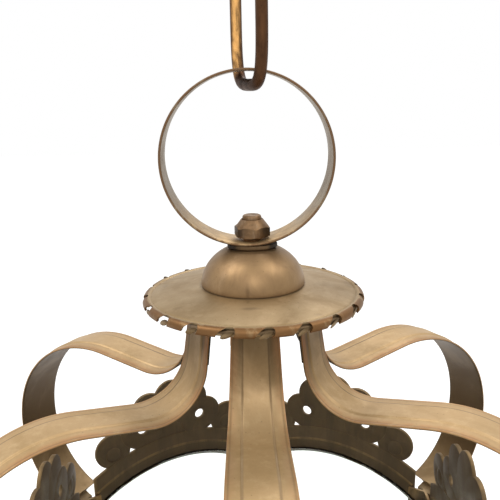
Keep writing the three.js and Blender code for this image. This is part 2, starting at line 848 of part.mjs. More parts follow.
function basePan() {
  const rim = ledgeInner + 4 - clearance * 2;
  const seat = ledgeTop + clearance;
  const bend = ledgeInner - 2;
  const low = seat - panDrop;
  const sheet = revolve([
    [0, low], [panHole, low], [bend, seat], [rim, seat], [rim, seat + panSheet],
    [bend, seat + panSheet], [panHole, low + panSheet], [0, low + panSheet],
  ], panels);
  return cut(sheet, cylinder(finialShank + clearance, low - 1, low + panSheet + 1));
}

const panBottom = ledgeTop + clearance - panDrop;

function dropFinial() {
  const top = panBottom - clearance;
  const shankTop = panBottom + panSheet + 10;
  const knop = arc([0, top - knopDrop], knopRadius, knopBelly, -knopBelly, 6);
  return revolve([
    [0, shankTop], [finialShank, shankTop], [finialShank, top], [12, top], [12, top - 2.5], [6.5, top - 5],
    [5, top - 9], ...knop, [3.6, top - 33], [4.6, top - 35.5], [3.2, top - 39], [0, top - finialLength],
  ], smallFaces);
}

const finialNutRest = panBottom + panSheet + clearance;

add('base_frame', baseFrame(), agedBrass);
add('base_pan', basePan(), agedBrass);
add('drop_finial', dropFinial(), goldBrass);
add('finial_nut', hexNut(finialNutFlats, finialNutRest, finialNutHeight, finialShank), wornSteel);

// Stem: coupling under the stud and the rod that carries the candle cluster
const couplingTop = studEnd + couplingDepth - clearance;
const couplingEnd = couplingTop - couplingLength;
const rodTop = couplingEnd + couplingDepth - clearance;
const hubTop = clusterHeight + hubHeight / 2;
const rodEnd = hubTop - hubHeight / 2;

function coupling() {
  const upper = studRadius + clearance;
  const lower = rodRadius + clearance;
  return revolve([
    [0, studEnd - clearance], [upper, studEnd - clearance], [upper, couplingTop],
    [couplingRadius - 1, couplingTop], [couplingRadius, couplingTop - 1], [couplingRadius, couplingEnd + 1],
    [couplingRadius - 1, couplingEnd], [lower, couplingEnd], [lower, couplingEnd + couplingDepth],
    [0, couplingEnd + couplingDepth],
  ], smallFaces);
}

add('stem_coupling', coupling(), agedBrass);
add('stem_rod', cylinder(rodRadius, rodEnd, rodTop, 16), agedBrass);

// Hub of the cluster, bored for the rod, with a turned drop below
function clusterHub() {
  const bore = rodRadius + clearance;
  const low = hubTop - hubHeight;
  const belly = arc([0, clusterHeight], hubRadius, hubBelly, -hubBelly, 4);
  return revolve([
    [0, rodEnd - clearance], [bore, rodEnd - clearance], [bore, hubTop], [7, hubTop], [8.4, hubTop - 3],
    [6.6, hubTop - 6], ...belly, [6, low + 6], [7.6, low + 3.5], [5, low + 1], [0, low],
  ], smallFaces);
}

add('cluster_hub', clusterHub(), agedBrass);

// Candle arms, drip pans, cups and candles
const armStart = hubRadius + clearance;
const armTip = clusterHeight + candleArmRise;

function candleArm() {
  const route = new THREE.CatmullRomCurve3([
    new THREE.Vector3(0, -armStart, clusterHeight),
    new THREE.Vector3(0, -armStart - 5, clusterHeight),
    new THREE.Vector3(0, -(armStart + candleCircle) / 2, clusterHeight - candleArmDip * 0.75),
    new THREE.Vector3(0, -candleCircle + 6, clusterHeight - candleArmDip),
    new THREE.Vector3(0, -candleCircle, clusterHeight - 4),
    new THREE.Vector3(0, -candleCircle, armTip),
  ], false, 'centripetal');
  const round = new THREE.Shape();
  round.absarc(0, 0, candleArmRadius, 0, 2 * Math.PI, false);
  return new THREE.ExtrudeGeometry(round, {
    steps: 10, bevelEnabled: false, extrudePath: route, curveSegments: 4,
  });
}

const dripBase = armTip + clearance;
const cupBase = dripBase + dripSheet + clearance;
const candleBase = cupBase + 3;

function dripPan() {
  return revolve([
    [0, dripBase], [dripRadius * 0.55, dripBase], [dripRadius - 2, dripBase + 2.5],
    [dripRadius, dripBase + 5.5], [dripRadius - dripSheet, dripBase + 5.8],
    [dripRadius - 3, dripBase + 2.5 + dripSheet], [dripRadius * 0.55, dripBase + dripSheet],
    [0, dripBase + dripSheet],
  ], smallFaces);
}

function candleCup() {
  const top = cupBase + cupHeight;
  const bore = candleRadius + clearance;
  return revolve([
    [0, cupBase], [6, cupBase], [bore + cupWall, cupBase + 7], [bore + cupWall, top - 2],
    [cupRadius + 1, top], [bore, top], [bore, candleBase - clearance], [0, candleBase - clearance],
  ], 12);
}

function candle() {
  const top = candleBase + candleLength;
  return revolve([
    [0, candleBase], [candleRadius, candleBase], [candleRadius, top - 2], [candleRadius - 1.6, top],
    [3, top - 1.4], [0, top - 1.8],
  ], smallFaces);
}

function wick() {
  const base = candleBase + candleLength - 1.8 + clearance;
  return revolve([[0, base], [0.9, base], [0.9, base + 8], [0.5, base + 9], [0, base + 9]], 8);
}

for (let i = 0; i < candleCount; i += 1) {
  const turn = (i + 0.5) / candleCount * 2 * Math.PI;
  const stand = (geometry) => geometry.translate(0, -candleCircle, 0);
  add(`candle_arm_${i + 1}`, candleArm(), agedBrass, turn);
  add(`drip_pan_${i + 1}`, stand(dripPan()), agedBrass, turn);
  add(`candle_cup_${i + 1}`, stand(candleCup()), agedBrass, turn);
  add(`candle_${i + 1}`, stand(candle()), ivoryWax, turn);
  add(`wick_${i + 1}`, stand(wick()), cottonWick, turn);
}

lantern.position.z = -hangHeight;

export default lantern;
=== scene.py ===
"""Looks of a hexagonal brass hall lantern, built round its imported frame.

The crown follows the photograph: chain link, hanging ring, dome, notched canopy disc,
strap arms and pierced rails. Sizes are in millimetres, the classes' angles are in degrees,
and heights are counted from the rim plane of the canopy disc, as a bench drawing would.
"""

import json
import logging
import math
import random
from contextlib import contextmanager
from dataclasses import dataclass, field
from enum import Enum
from typing import Callable, Iterator, Sequence

import bmesh
import bpy
from mathutils import Matrix, Vector


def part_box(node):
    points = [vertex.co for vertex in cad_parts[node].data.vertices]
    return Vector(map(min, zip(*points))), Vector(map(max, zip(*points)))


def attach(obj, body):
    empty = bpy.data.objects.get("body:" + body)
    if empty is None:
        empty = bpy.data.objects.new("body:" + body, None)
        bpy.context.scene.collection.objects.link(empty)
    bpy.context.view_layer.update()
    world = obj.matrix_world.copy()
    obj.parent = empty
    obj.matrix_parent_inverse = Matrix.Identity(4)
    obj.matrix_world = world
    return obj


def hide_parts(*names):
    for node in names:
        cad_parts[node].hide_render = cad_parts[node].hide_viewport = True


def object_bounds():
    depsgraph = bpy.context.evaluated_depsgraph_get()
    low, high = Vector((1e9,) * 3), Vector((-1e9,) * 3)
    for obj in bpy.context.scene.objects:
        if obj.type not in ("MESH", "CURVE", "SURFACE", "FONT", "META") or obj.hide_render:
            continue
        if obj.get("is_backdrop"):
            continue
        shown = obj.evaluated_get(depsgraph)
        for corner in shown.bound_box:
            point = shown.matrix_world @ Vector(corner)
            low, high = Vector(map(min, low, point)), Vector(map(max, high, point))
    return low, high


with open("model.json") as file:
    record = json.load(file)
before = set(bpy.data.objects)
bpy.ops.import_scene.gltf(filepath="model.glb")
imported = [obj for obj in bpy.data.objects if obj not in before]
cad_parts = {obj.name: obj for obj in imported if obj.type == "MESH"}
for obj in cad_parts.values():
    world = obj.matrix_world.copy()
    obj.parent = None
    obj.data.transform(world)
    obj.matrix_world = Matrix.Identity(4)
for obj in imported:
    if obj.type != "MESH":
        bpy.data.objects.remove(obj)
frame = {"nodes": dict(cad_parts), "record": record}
LOG = logging.getLogger("lantern")

MM = 0.001
SIDES = 6
SIXTH = 2 * math.pi / SIDES
GAP = 0.3  # play between pieces that touch
MERGE = 0.005  # points closer than this become one
CREASE_ANGLE = math.radians(38)  # edges sharper than this stay crisp
SHARP_ANGLE = math.radians(32)  # edges sharper than this are rounded
FLAT_ANGLE = math.radians(1)  # edges flatter than this are cleared away
EDGE_GAIN = 3.2  # how soon a bend counts as a rubbed edge or a dark groove
STUD_TOP = 43.4  # the stud's end, above the rim plane
RIM_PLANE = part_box("center_stud")[1].z / MM - STUD_TOP

# The wear layer also holds the chain link's painted highlight and the arms' browner near lips; the second
# layer holds dirt and painted shadow; the third holds candle browning, painted shade and painted light.
LAYERS = ("wear", "grime_and_painted_shade", "soot_and_painted_light")  # point attributes that the metals read

Point = tuple[float, float]
Triple = tuple[float, float, float]
Mark = Callable[[Vector, Vector], float]  # strength at a place in mm, with its normal


class Slot(Enum):
    """The record's material slots."""

    AGED = "aged_brass"
    RUBBED = "rubbed_brass"
    COPPER = "copper_steel"
    CAST = "dark_cast_brass"
    IRON = "black_iron"
    STEEL = "worn_steel"
    GLASS = "clear_glass"
    WAX = "ivory_wax"
    COTTON = "wick_cotton"


class Coat(Enum):
    """The finishes, each with the record's slot that it belongs to."""

    SHEET = (Slot.AGED, "sheet")
    DOME = (Slot.AGED, "dome")
    STRAP = (Slot.RUBBED, "strap")
    DISC = (Slot.RUBBED, "disc")
    BAND = (Slot.RUBBED, "band")
    WIRE = (Slot.COPPER, "wire")
    CASTING = (Slot.CAST, "casting")
    IRON = (Slot.IRON, "iron")
    STEEL = (Slot.STEEL, "steel")
    GLASS = (Slot.GLASS, "glass")
    WAX = (Slot.WAX, "wax")
    COTTON = (Slot.COTTON, "cotton")

    @property
    def slot(self) -> Slot:
        """The record's slot."""
        return self.value[0]


class Ends(Enum):
    """How the two ends of a turned form are finished."""

    CAPPED = "capped"
    JOINED = "joined"


# Nodes


def srgb(code: str) -> tuple[float, float, float, float]:
    """Turns an sRGB hex colour to linear.

    Args:
        code: six hex digits, such as "b39b76".

    Returns:
        Linear red, green, blue and an alpha of 1.
    """
    parts = [int(code[i:i + 2], 16) / 255 for i in (0, 2, 4)]
    linear = [p / 12.92 if p <= 0.04045 else ((p + 0.055) / 1.055) ** 2.4 for p in parts]
    return (*linear, 1.0)


def per_mm(size: float) -> float:
    """Scale of a pattern whose features are this many millimetres wide."""
    return 1 / (size * MM)


def add_node(tree: bpy.types.NodeTree, kind: str, inputs: dict | None = None,
             **settings: object) -> bpy.types.Node:
    """Adds a shader node with its settings, values and links.

    Args:
        tree: the node tree.
        kind: the node's type name, without the ShaderNode in front.
        inputs: for each input's name or index, a value or the socket that feeds it.
        settings: the node's own properties.

    Returns:
        The node.
    """
    node = tree.nodes.new("ShaderNode" + kind)
    for key, value in settings.items():
        setattr(node, key, value)
    for key, value in (inputs or {}).items():
        if isinstance(value, bpy.types.NodeSocket):
            tree.links.new(value, node.inputs[key])
        else:
            node.inputs[key].default_value = value
    return node


def new_material(name: str) -> tuple[bpy.types.Material, bpy.types.NodeTree]:
    """Makes an empty node material.

    Args:
        name: its name.

    Returns:
        The material and its tree.
    """
    material = bpy.data.materials.new(name)
    material.use_nodes = True
    material.node_tree.nodes.clear()
    return material, material.node_tree


def coat_over(tree: bpy.types.NodeTree, under: tuple | bpy.types.NodeSocket, over: tuple,
              pattern: bpy.types.NodeSocket, reach: Point, strength: float = 1.0) -> bpy.types.NodeSocket:
    """Lays one colour over another where a pattern is strong.

    Args:
        tree: the node tree.
        under: the colour below, or its socket.
        over: the colour on top.
        pattern: the pattern's socket.
        reach: the pattern's values where the coat starts and where it is full.
        strength: how much of what is below it hides where it is full.

    Returns:
        The colour's socket.
    """
    share = add_node(tree, "MapRange", {
        "Value": pattern, "From Min": reach[0], "From Max": reach[1], "To Max": strength,
    }, interpolation_type="SMOOTHSTEP").outputs["Result"]
    return add_node(tree, "Mix", {0: share, 6: under, 7: over}, data_type="RGBA").outputs[2]


def broken_up(tree: bpy.types.NodeTree, mark: bpy.types.NodeSocket, pattern: bpy.types.NodeSocket,
              reach: Point, shares: Point) -> bpy.types.NodeSocket:
    """Makes an even mark uneven by a pattern.

    Args:
        tree: the node tree.
        mark: the mark's socket.
        pattern: the pattern's socket.
        reach: the pattern's values where the mark is weakest and strongest.
        shares: how much of the mark is left there.

    Returns:
        The uneven mark's socket.
    """
    uneven = add_node(tree, "MapRange", {
        "Value": pattern, "From Min": reach[0], "From Max": reach[1], "To Min": shares[0],
        "To Max": shares[1],
    }, interpolation_type="SMOOTHSTEP").outputs["Result"]
    return add_node(tree, "Math", {0: mark, 1: uneven}, operation="MULTIPLY").outputs[0]


# Finishes

# Detail, roughness and distortion of the metals' three noises
CLOUDS = (7.0, 0.62, 0.6)
STREAKS = (5.0, 0.7, 0.0)
GRIT = (4.0, 0.75, 0.0)
STREAK_STRETCH = 0.16  # scale of the streaks up a piece, against 1 across it
SPECK_SPACING = 3.6  # from one dark speck to the next, in grits
PATINA_SHIFT = 0.3  # how far more patina moves its clouds' threshold


class Finish:
    """A procedural material that reads Object coordinates."""

    name: str

    def build(self) -> bpy.types.Material:
        """Makes the node material.

        Returns:
            The material.
        """
        material, tree = new_material(self.name)
        shader = self.shade(tree, add_node(tree, "TexCoord").outputs["Object"])
        add_node(tree, "OutputMaterial", {"Surface": shader.outputs[0]})
        return material

    def shade(self, tree: bpy.types.NodeTree, place: bpy.types.NodeSocket) -> bpy.types.Node:
        """Adds the patterns and the shader; each finish has its own.

        Args:
            tree: the material's tree.
            place: the Object coordinates.

        Returns:
            The shader.
        """
        raise NotImplementedError


@dataclass(frozen=True)
class MetalFinish(Finish):
    """A bare or plated metal with patina, handling marks, rubbed edges, candle browning, and the painted
    light and shade that the pieces mark on it.
    """

    name: str
    tone: str  # the colour that most of it has
    pale: str  # where handling has kept it lighter
    deep: str  # where patina has gathered
    bare: str  # the rubbed edges
    grime_and_painted_shade: str  # what fills the grooves, and the painted shadow, shade and darker reflection that the crown's pieces mark
    soot_and_painted_light: str = "4a3d2d"  # the faces that look inward or down, browned by the candles; on the arms and the disc it also paints shade, and on the ring painted light
    metallic: float = 1.0  # lower under a coat of oxide
    roughness: float = 0.46
    dull: float = 0.14  # how much rougher the patina is
    cloud: float = 26  # size of the patina's clouds, in mm
    streak: float = 9  # size of the marks along the piece, in mm
    grit: float = 1.1  # size of the finest marks, in mm
    depth: float = 0.04  # height of the fine marks, in mm
    patina: float = 0.5  # how much of it is under patina
    rub: float = 0.7  # how strongly the edges are rubbed

    def shade(self, tree: bpy.types.NodeTree, place: bpy.types.NodeSocket) -> bpy.types.Node:
        """Lays patina, handling marks, candle browning, rubbed edges, dirt, and the pieces' painted light and
        shade over the metal.

        Args:
            tree: the material's tree.
            place: the Object coordinates.

        Returns:
            The shader.
        """
        along = add_node(tree, "Mapping", {"Vector": place, "Scale": (1.0, 1.0, STREAK_STRETCH)})
        clouds, streaks, grit = (
            add_node(tree, "TexNoise", {
                "Vector": vector, "Scale": per_mm(size), "Detail": detail, "Roughness": rough,
                "Distortion": distortion,
            }).outputs["Fac"]
            for vector, size, (detail, rough, distortion) in (
                (place, self.cloud, CLOUDS), (along.outputs["Vector"], self.streak, STREAKS),
                (place, self.grit, GRIT)))
        specks = add_node(tree, "TexVoronoi", {
            "Vector": place, "Scale": per_mm(self.grit * SPECK_SPACING), "Randomness": 1.0,
        }, feature="F1").outputs["Distance"]
        # The second and third layers bring in painted shade and light as well as dirt and candle browning.
        worn, dirt_and_shade, smoked = (
            add_node(tree, "Attribute", attribute_name=name).outputs["Fac"] for name in LAYERS)
        uneven_browning_and_light = broken_up(tree, smoked, clouds, (0.3, 0.6), (0.8, 1.1))
        ragged = broken_up(tree, worn, streaks, (0.3, 0.62), (0.35, 1.15))

        middle = 0.5 + (0.5 - self.patina) * PATINA_SHIFT
        colour = srgb(self.tone)
        for pattern, reach, strength, code in (
            (clouds, (middle - 0.14, middle + 0.18), 0.8, self.deep),
            (streaks, (0.46, 0.74), 0.5, self.pale),
            (grit, (0.5, 0.72), 0.24, self.deep),
            (specks, (0.13, 0.03), 0.4, self.grime_and_painted_shade),
            (uneven_browning_and_light, (0.0, 1.0), 1.0, self.soot_and_painted_light),
            (ragged, (0.06, 0.8), self.rub, self.bare),
            (dirt_and_shade, (0.05, 0.8), 0.9, self.grime_and_painted_shade),
        ):
            colour = coat_over(tree, colour, srgb(code), pattern, reach, strength)

        gloss = add_node(tree, "MapRange", {
            "Value": clouds, "From Min": 0.36, "From Max": 0.66, "To Min": self.roughness,
            "To Max": self.roughness + self.dull,
        }, interpolation_type="SMOOTHSTEP").outputs["Result"]
        height = add_node(tree, "Math", {0: grit, 1: streaks}, operation="ADD").outputs[0]
        bump = add_node(tree, "Bump", {"Height": height, "Strength": 0.5, "Distance": self.depth * MM})
        return add_node(tree, "BsdfPrincipled", {
            "Base Color": colour, "Metallic": self.metallic, "Roughness": gloss,
            "Normal": bump.outputs["Normal"],
        })


@dataclass(frozen=True)
class GlassFinish(Finish):
    """Old drawn window glass: clear, with a faint green edge and slow waves."""

    name: str = "drawn_glass"
    tint: str = "f1f6f2"
    wave: float = 45
    depth: float = 0.12
    strength: float = 0.35
    roughness: float = 0.02
    ior: float = 1.5

    def shade(self, tree: bpy.types.NodeTree, place: bpy.types.NodeSocket) -> bpy.types.Node:
        """Waves the surface of clear glass.

        Args:
            tree: the material's tree.
            place: the Object coordinates.

        Returns:
            The shader.
        """
        waves = add_node(tree, "TexNoise", {"Vector": place, "Scale": per_mm(self.wave), "Detail": 2.0})
        bump = add_node(tree, "Bump", {
            "Height": waves.outputs["Fac"], "Strength": self.strength, "Distance": self.depth * MM,
        })
        return add_node(tree, "BsdfPrincipled", {
            "Base Color": srgb(self.tint), "Roughness": self.roughness, "IOR": self.ior,
            "Transmission Weight": 1.0, "Normal": bump.outputs["Normal"],
        })


@dataclass(frozen=True)
class WaxFinish(Finish):
    """Moulded candle wax: ivory, softly translucent, with a greasy sheen."""

    name: str = "moulded_wax"
    tone: str = "eadfc2"
    warm: str = "dcc797"
    cloud: float = 22
    depth: float = 0.2
    strength: float = 0.3
    roughness: float = 0.42
    ior: float = 1.44
    glow: float = 0.4
    glow_depth: float = 4

    def shade(self, tree: bpy.types.NodeTree, place: bpy.types.NodeSocket) -> bpy.types.Node:
        """Clouds the wax with a warmer tone.

        Args:
            tree: the material's tree.
            place: the Object coordinates.

        Returns:
            The shader.
        """
        clouds = add_node(tree, "TexNoise", {
            "Vector": place, "Scale": per_mm(self.cloud), "Detail": 4.0,
        }).outputs["Fac"]
        bump = add_node(tree, "Bump", {
            "Height": clouds, "Strength": self.strength, "Distance": self.depth * MM,
        })
        return add_node(tree, "BsdfPrincipled", {
            "Base Color": coat_over(tree, srgb(self.tone), srgb(self.warm), clouds, (0.4, 0.7)),
            "Roughness": self.roughness, "IOR": self.ior, "Subsurface Weight": self.glow,
            "Subsurface Radius": (1.0, 0.6, 0.3), "Subsurface Scale": self.glow_depth * MM,
            "Normal": bump.outputs["Normal"],
        })


@dataclass(frozen=True)
class CottonFinish(Finish):
    """Braided cotton wick, waxed and charred at its tip."""

    name: str = "charred_cotton"
    tone: str = "2b2520"
    ash: str = "8d8272"
    strand: float = 0.6
    braid: float = 6
    roughness: float = 0.9

    def shade(self, tree: bpy.types.NodeTree, place: bpy.types.NodeSocket) -> bpy.types.Node:
        """Braids charred and ashy strands.

        Args:
            tree: the material's tree.
            place: the Object coordinates.

        Returns:
            The shader.
        """
        braid = add_node(tree, "TexWave", {
            "Vector": place, "Scale": per_mm(self.strand * self.braid), "Distortion": 3.0,
        }, bands_direction="DIAGONAL").outputs["Fac"]
        colour = add_node(tree, "Mix", {0: braid, 6: srgb(self.tone), 7: srgb(self.ash)}, data_type="RGBA")
        return add_node(tree, "BsdfPrincipled", {
            "Base Color": colour.outputs[2], "Roughness": self.roughness,
        })


FINISHES: dict[Coat, Finish] = {
    # Rolled sheet brass under a brown patina: satin, with soft wide highlights
    Coat.SHEET: MetalFinish(
        "patinated_sheet_brass", tone="96805f", pale="b09a78", deep="786246", bare="b08a56",
        grime_and_painted_shade="3f3122", metallic=0.75, roughness=0.44, patina=0.55),
    # Spun sheet brass, browner and smoother than the flat sheet
    Coat.DOME: MetalFinish(
        "spun_brass_brown_patina", tone="917552", pale="a68b69", deep="7d6346", bare="9a7a4e",
        grime_and_painted_shade="4a3520", metallic=0.8, roughness=0.4, dull=0.08, cloud=15, streak=11, grit=0.9, rub=0.3),
    # Drawn strap brass that hands keep lighter, with rubbed orange edges; its dark 523c1c is candle browning
    # and painted shade on the arms
    Coat.STRAP: MetalFinish(
        "rubbed_strap_brass", tone="b19369", pale="c1a67d", deep="9d8157", bare="9a673b",
        grime_and_painted_shade="44341f", soot_and_painted_light="523c1c", metallic=0.52, roughness=0.46, dull=0.1, patina=0.44,
        streak=5, cloud=34, rub=0.6),
    # Pressed sheet brass, tan, with the rim rubbed to a gold brown
    Coat.DISC: MetalFinish(
        "pressed_sheet_brass", tone="9a8360", pale="ad9674", deep="846c49", bare="6f4d2a",
        grime_and_painted_shade="493823", metallic=0.75, roughness=0.42, dull=0.1, cloud=30, streak=9, patina=0.48,
        rub=0.95),
    # Rolled brass band, greyed by handling, with dark edges; its pale cfae7d is painted light on the ring's
    # low inside
    Coat.BAND: MetalFinish(
        "rolled_brass_band", tone="8a7d67", pale="9f937d", deep="756650", bare="65482d",
        grime_and_painted_shade="4d3b26", soot_and_painted_light="cfae7d", metallic=0.7, roughness=0.42, dull=0.1, cloud=20, streak=6,
        patina=0.4, rub=0.9),
    # Copper-plated steel wire, worn to brown; its gold eab36c is a painted highlight up the link's far leg,
    # laid on as rubbed plating
    Coat.WIRE: MetalFinish(
        "copper_plated_steel", tone="4d321d", pale="634227", deep="382314", bare="eab36c",
        grime_and_painted_shade="2e2018", metallic=0.85, roughness=0.46, patina=0.5, cloud=12, streak=3, rub=1.0),
    # Sand-cast brass, smoked nearly black on the faces that look inward
    Coat.CASTING: MetalFinish(
        "cast_dark_brass", tone="846d4c", pale="97805a", deep="65533a", bare="a0804f",
        grime_and_painted_shade="31271b", soot_and_painted_light="584833", metallic=0.6, roughness=0.52, patina=0.55, grit=1.6, depth=0.1),
    # Wrought iron plate, blackened and dry
    Coat.IRON: MetalFinish(
        "blackened_iron", tone="3d342b", pale="5a4c3e", deep="241e19", bare="7d6548",
        grime_and_painted_shade="14110e", soot_and_painted_light="241e19", metallic=0.75, roughness=0.58, patina=0.6, cloud=14, rub=0.9),
    # Machine steel that has gone brown, with grey patches
    Coat.STEEL: MetalFinish(
        "weathered_steel", tone="86694a", pale="a89c88", deep="5a4530", bare="a0764c",
        grime_and_painted_shade="2f241a", metallic=0.8, roughness=0.44, patina=0.5, cloud=7, streak=4),
    Coat.GLASS: GlassFinish(),
    Coat.WAX: WaxFinish(),
    Coat.COTTON: CottonFinish(),
}


# Modelling by hand


def deselect() -> None:
    """Leaves nothing selected."""
    for item in bpy.context.selected_objects:
        item.select_set(False)


def hold(item: bpy.types.Object) -> None:
    """Makes one object the only selected and active one.

    Args:
        item: the object.
    """
    deselect()
    item.select_set(True)
    bpy.context.view_layer.objects.active = item


def take(name: str) -> bpy.types.Object:
    """Names the primitive just added and puts its place into its mesh.

    Args:
        name: the piece's name.

    Returns:
        The object.
    """
    item = bpy.context.active_object
    item.name = name
    item.data.name = name
    bpy.ops.object.transform_apply(location=True, rotation=True, scale=True)
    return item


@contextmanager
def editing(item: bpy.types.Object, select: str = "SELECT") -> Iterator[None]:
    """Edit mode on one object, with all or none of it selected.

    Args:
        item: the object.
        select: SELECT or DESELECT.
    """
    hold(item)
    bpy.ops.object.mode_set(mode="EDIT")
    bpy.ops.mesh.select_all(action=select)
    yield
    bpy.ops.object.mode_set(mode="OBJECT")


def pick_faces(item: bpy.types.Object, test: Callable[[Vector], bool]) -> None:
    """Selects, in edit mode, only the faces whose middle passes a test.

    Args:
        item: the object.
        test: what the middle has to fulfil.
    """
    bpy.ops.mesh.select_mode(type="FACE")
    bpy.ops.mesh.select_all(action="DESELECT")
    form = bmesh.from_edit_mesh(item.data)
    for face in form.faces:
        if test(face.calc_center_median()):
            face.select_set(True)
    form.select_flush_mode()
    bmesh.update_edit_mesh(item.data)


def apply_modifier(item: bpy.types.Object, kind: str, **settings: object) -> None:
    """Adds a modifier and applies it.

    Args:
        item: the object.
        kind: the modifier's type.
        settings: its properties.
    """
    hold(item)
    modifier = item.modifiers.new(kind.lower(), kind)
    for key, value in settings.items():
        setattr(modifier, key, value)
    bpy.ops.object.modifier_apply(modifier=modifier.name)


def cut_away(item: bpy.types.Object, tool: bpy.types.Object) -> None:
    """Cuts a tool's form out of a piece, and removes the tool."""
    apply_modifier(item, "BOOLEAN", operation="DIFFERENCE", object=tool, solver="EXACT")
    bpy.data.objects.remove(tool)


def tidy_normals(item: bpy.types.Object) -> None:
    """Merges doubles and turns the faces outward.

    Args:
        item: the object.
    """
    with editing(item):
        bpy.ops.mesh.remove_doubles(threshold=MERGE * MM)
        bpy.ops.mesh.normals_make_consistent(inside=False)


def in_frame(across: float, depth: float, height: float) -> Vector:
    """A place in mm above the rim plane, in the frame's metres."""
    return Vector((across, depth, height + RIM_PLANE)) * MM


def heights(node: str) -> tuple[float, ...]:
    """A CAD node's lowest and highest point, in mm above the rim plane."""
    return tuple(corner.z / MM - RIM_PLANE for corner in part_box(node))


def out_from_middle(place: Vector) -> float:
    """How far a place is from the centre line."""
    return math.hypot(place.x, place.y)


def arc(centre: Point, radius: float, start: float, end: float, steps: int) -> list[Point]:
    """Points of a round stretch of a profile, both ends included.

    Args:
        centre: its centre.
        radius: its radius.
        start: where it starts, in degrees.
        end: where it ends, in degrees.
        steps: how many pieces it has.

    Returns:
        The points.
    """
    turns = [math.radians(start + (end - start) * i / steps) for i in range(steps + 1)]
    return [(centre[0] + radius * math.cos(t), centre[1] + radius * math.sin(t)) for t in turns]


def from_level(level: float, points: Sequence[Point]) -> list[Point]:
    """A stretch of a profile whose heights are counted from a level."""
    return [(radius, level + height) for radius, height in points]


def turned(name: str, profile: Sequence[Point], ends: Ends = Ends.CAPPED,
           faces: int = 64) -> bpy.types.Object:
    """Turns a profile about the lantern's centre line, ring by ring.

    Args:
        name: the piece's name.
        profile: [radius, height] points in mm, above the rim plane.
        ends: capped for a solid piece, joined where the profile closes on itself.
        faces: how many faces go round.

    Returns:
        The object.
    """
    radius, height = profile[0]
    capped = ends is Ends.CAPPED
    deselect()
    bpy.ops.mesh.primitive_circle_add(
        vertices=faces, radius=radius * MM, location=(0, 0, (height + RIM_PLANE) * MM),
        fill_type="NGON" if capped else "NOTHING")
    item = take(name)
    with editing(item):
        for now_radius, now_height in profile[1:]:
            bpy.ops.mesh.extrude_region_move(
                TRANSFORM_OT_translate={"value": (0, 0, (now_height - height) * MM)})
            share = now_radius / radius
            centre = (0, 0, (now_height + RIM_PLANE) * MM)
            bpy.ops.transform.resize(value=(share, share, 1), center_override=centre)
            radius, height = now_radius, now_height
    tidy_normals(item)
    return item


def six_copies(pattern: bpy.types.Object, name: str,
               first: float = 0.0) -> Iterator[tuple[int, float, bpy.types.Object]]:
    """Copies a piece made at the front to the six sides or corners, then removes it.

    Args:
        pattern: the piece.
        name: the copies' name, without the number.
        first: where the first copy stands, in sixths of a turn.

    Yields:
        Each copy's number from 1, its turn in radians, and the copy.
    """
    for i in range(SIDES):
        turn = (i + first) * SIXTH
        hold(pattern)
        bpy.ops.object.duplicate(linked=False)
        item = bpy.context.active_object
        item.name = f"{name}_{i + 1}"
        item.data.name = item.name
        item.data.transform(Matrix.Rotation(turn, 4, "Z"))
        yield i + 1, turn, item
    bpy.data.objects.remove(pattern)


def from_node(node: str) -> bpy.types.Object:
    """A merged copy of a CAD node's mesh, as a start for finer work.

    Args:
        node: the CAD node.

    Returns:
        The object.
    """
    name = f"{node}_shell"
    item = bpy.data.objects.new(name, frame["nodes"][node].data.copy())
    bpy.context.scene.collection.objects.link(item)
    item.data.name = name
    tidy_normals(item)
    return item


def rounded(item: bpy.types.Object, width: float, steps: int = 2) -> bpy.types.Object:
    """Rounds the sharp edges of a piece, by a width in mm."""
    apply_modifier(item, "BEVEL", width=width * MM, segments=steps, limit_method="ANGLE",
                   angle_limit=SHARP_ANGLE, harden_normals=False)
    return item


def soften(item: bpy.types.Object, width: float, steps: int = 2) -> bpy.types.Object:
    """Clears away flat triangulation and rounds the sharp edges.

    Args:
        item: the object.
        width: how wide the rounding is, in mm.
        steps: its segments.

    Returns:
        The object.
    """
    with editing(item):
        bpy.ops.mesh.dissolve_limited(angle_limit=FLAT_ANGLE)
    rounded(item, width, steps)
    with editing(item):
        bpy.ops.mesh.quads_convert_to_tris()
    return item


def eased(node: str, width: float, steps: int = 2) -> bpy.types.Object:
    """A CAD node's form with its sharp edges rounded, by a width in mm."""
    return soften(from_node(node), width, steps)


def joined(name: str, *items: bpy.types.Object) -> bpy.types.Object:
    """Makes one object of several.

    Args:
        name: its name.
        items: the objects.

    Returns:
        The object.
    """
    deselect()
    for item in items:
        item.select_set(True)
    bpy.context.view_layer.objects.active = items[0]
    bpy.ops.object.join()
    items[0].name = name
    return items[0]


def plate(name: str, outline: Sequence[Point], back: float, thick: float) -> bpy.types.Object:
    """A plate that faces the front, drawn by its outline and pulled out.

    Args:
        name: the piece's name.
        outline: [across, height] points in mm.
        back: how far its back is from the centre line.
        thick: its thickness.

    Returns:
        The object.
    """
    deselect()
    bpy.ops.mesh.primitive_circle_add(vertices=len(outline), radius=1 * MM, fill_type="NGON")
    item = take(name)
    for vert, (across, height) in zip(item.data.vertices, outline):
        vert.co = in_frame(across, -back, height)
    with editing(item):
        bpy.ops.mesh.extrude_region_move(TRANSFORM_OT_translate={"value": (0, -thick * MM, 0)})
    tidy_normals(item)
    return item


def oval(centre: Point, across: float, up: float, turn: float = 0.0, steps: int = 40) -> list[Point]:
    """Outline of an ellipse.

    Args:
        centre: its centre.
        across: its half width.
        up: its half height.
        turn: to the right, in radians.
        steps: how many points.

    Returns:
        The points.
    """
    sine, cosine = math.sin(turn), math.cos(turn)
    angles = [2 * math.pi * i / steps for i in range(steps)]
    spots = [(across * math.cos(t), up * math.sin(t)) for t in angles]
    return [(centre[0] + x * cosine + z * sine, centre[1] - x * sine + z * cosine) for x, z in spots]


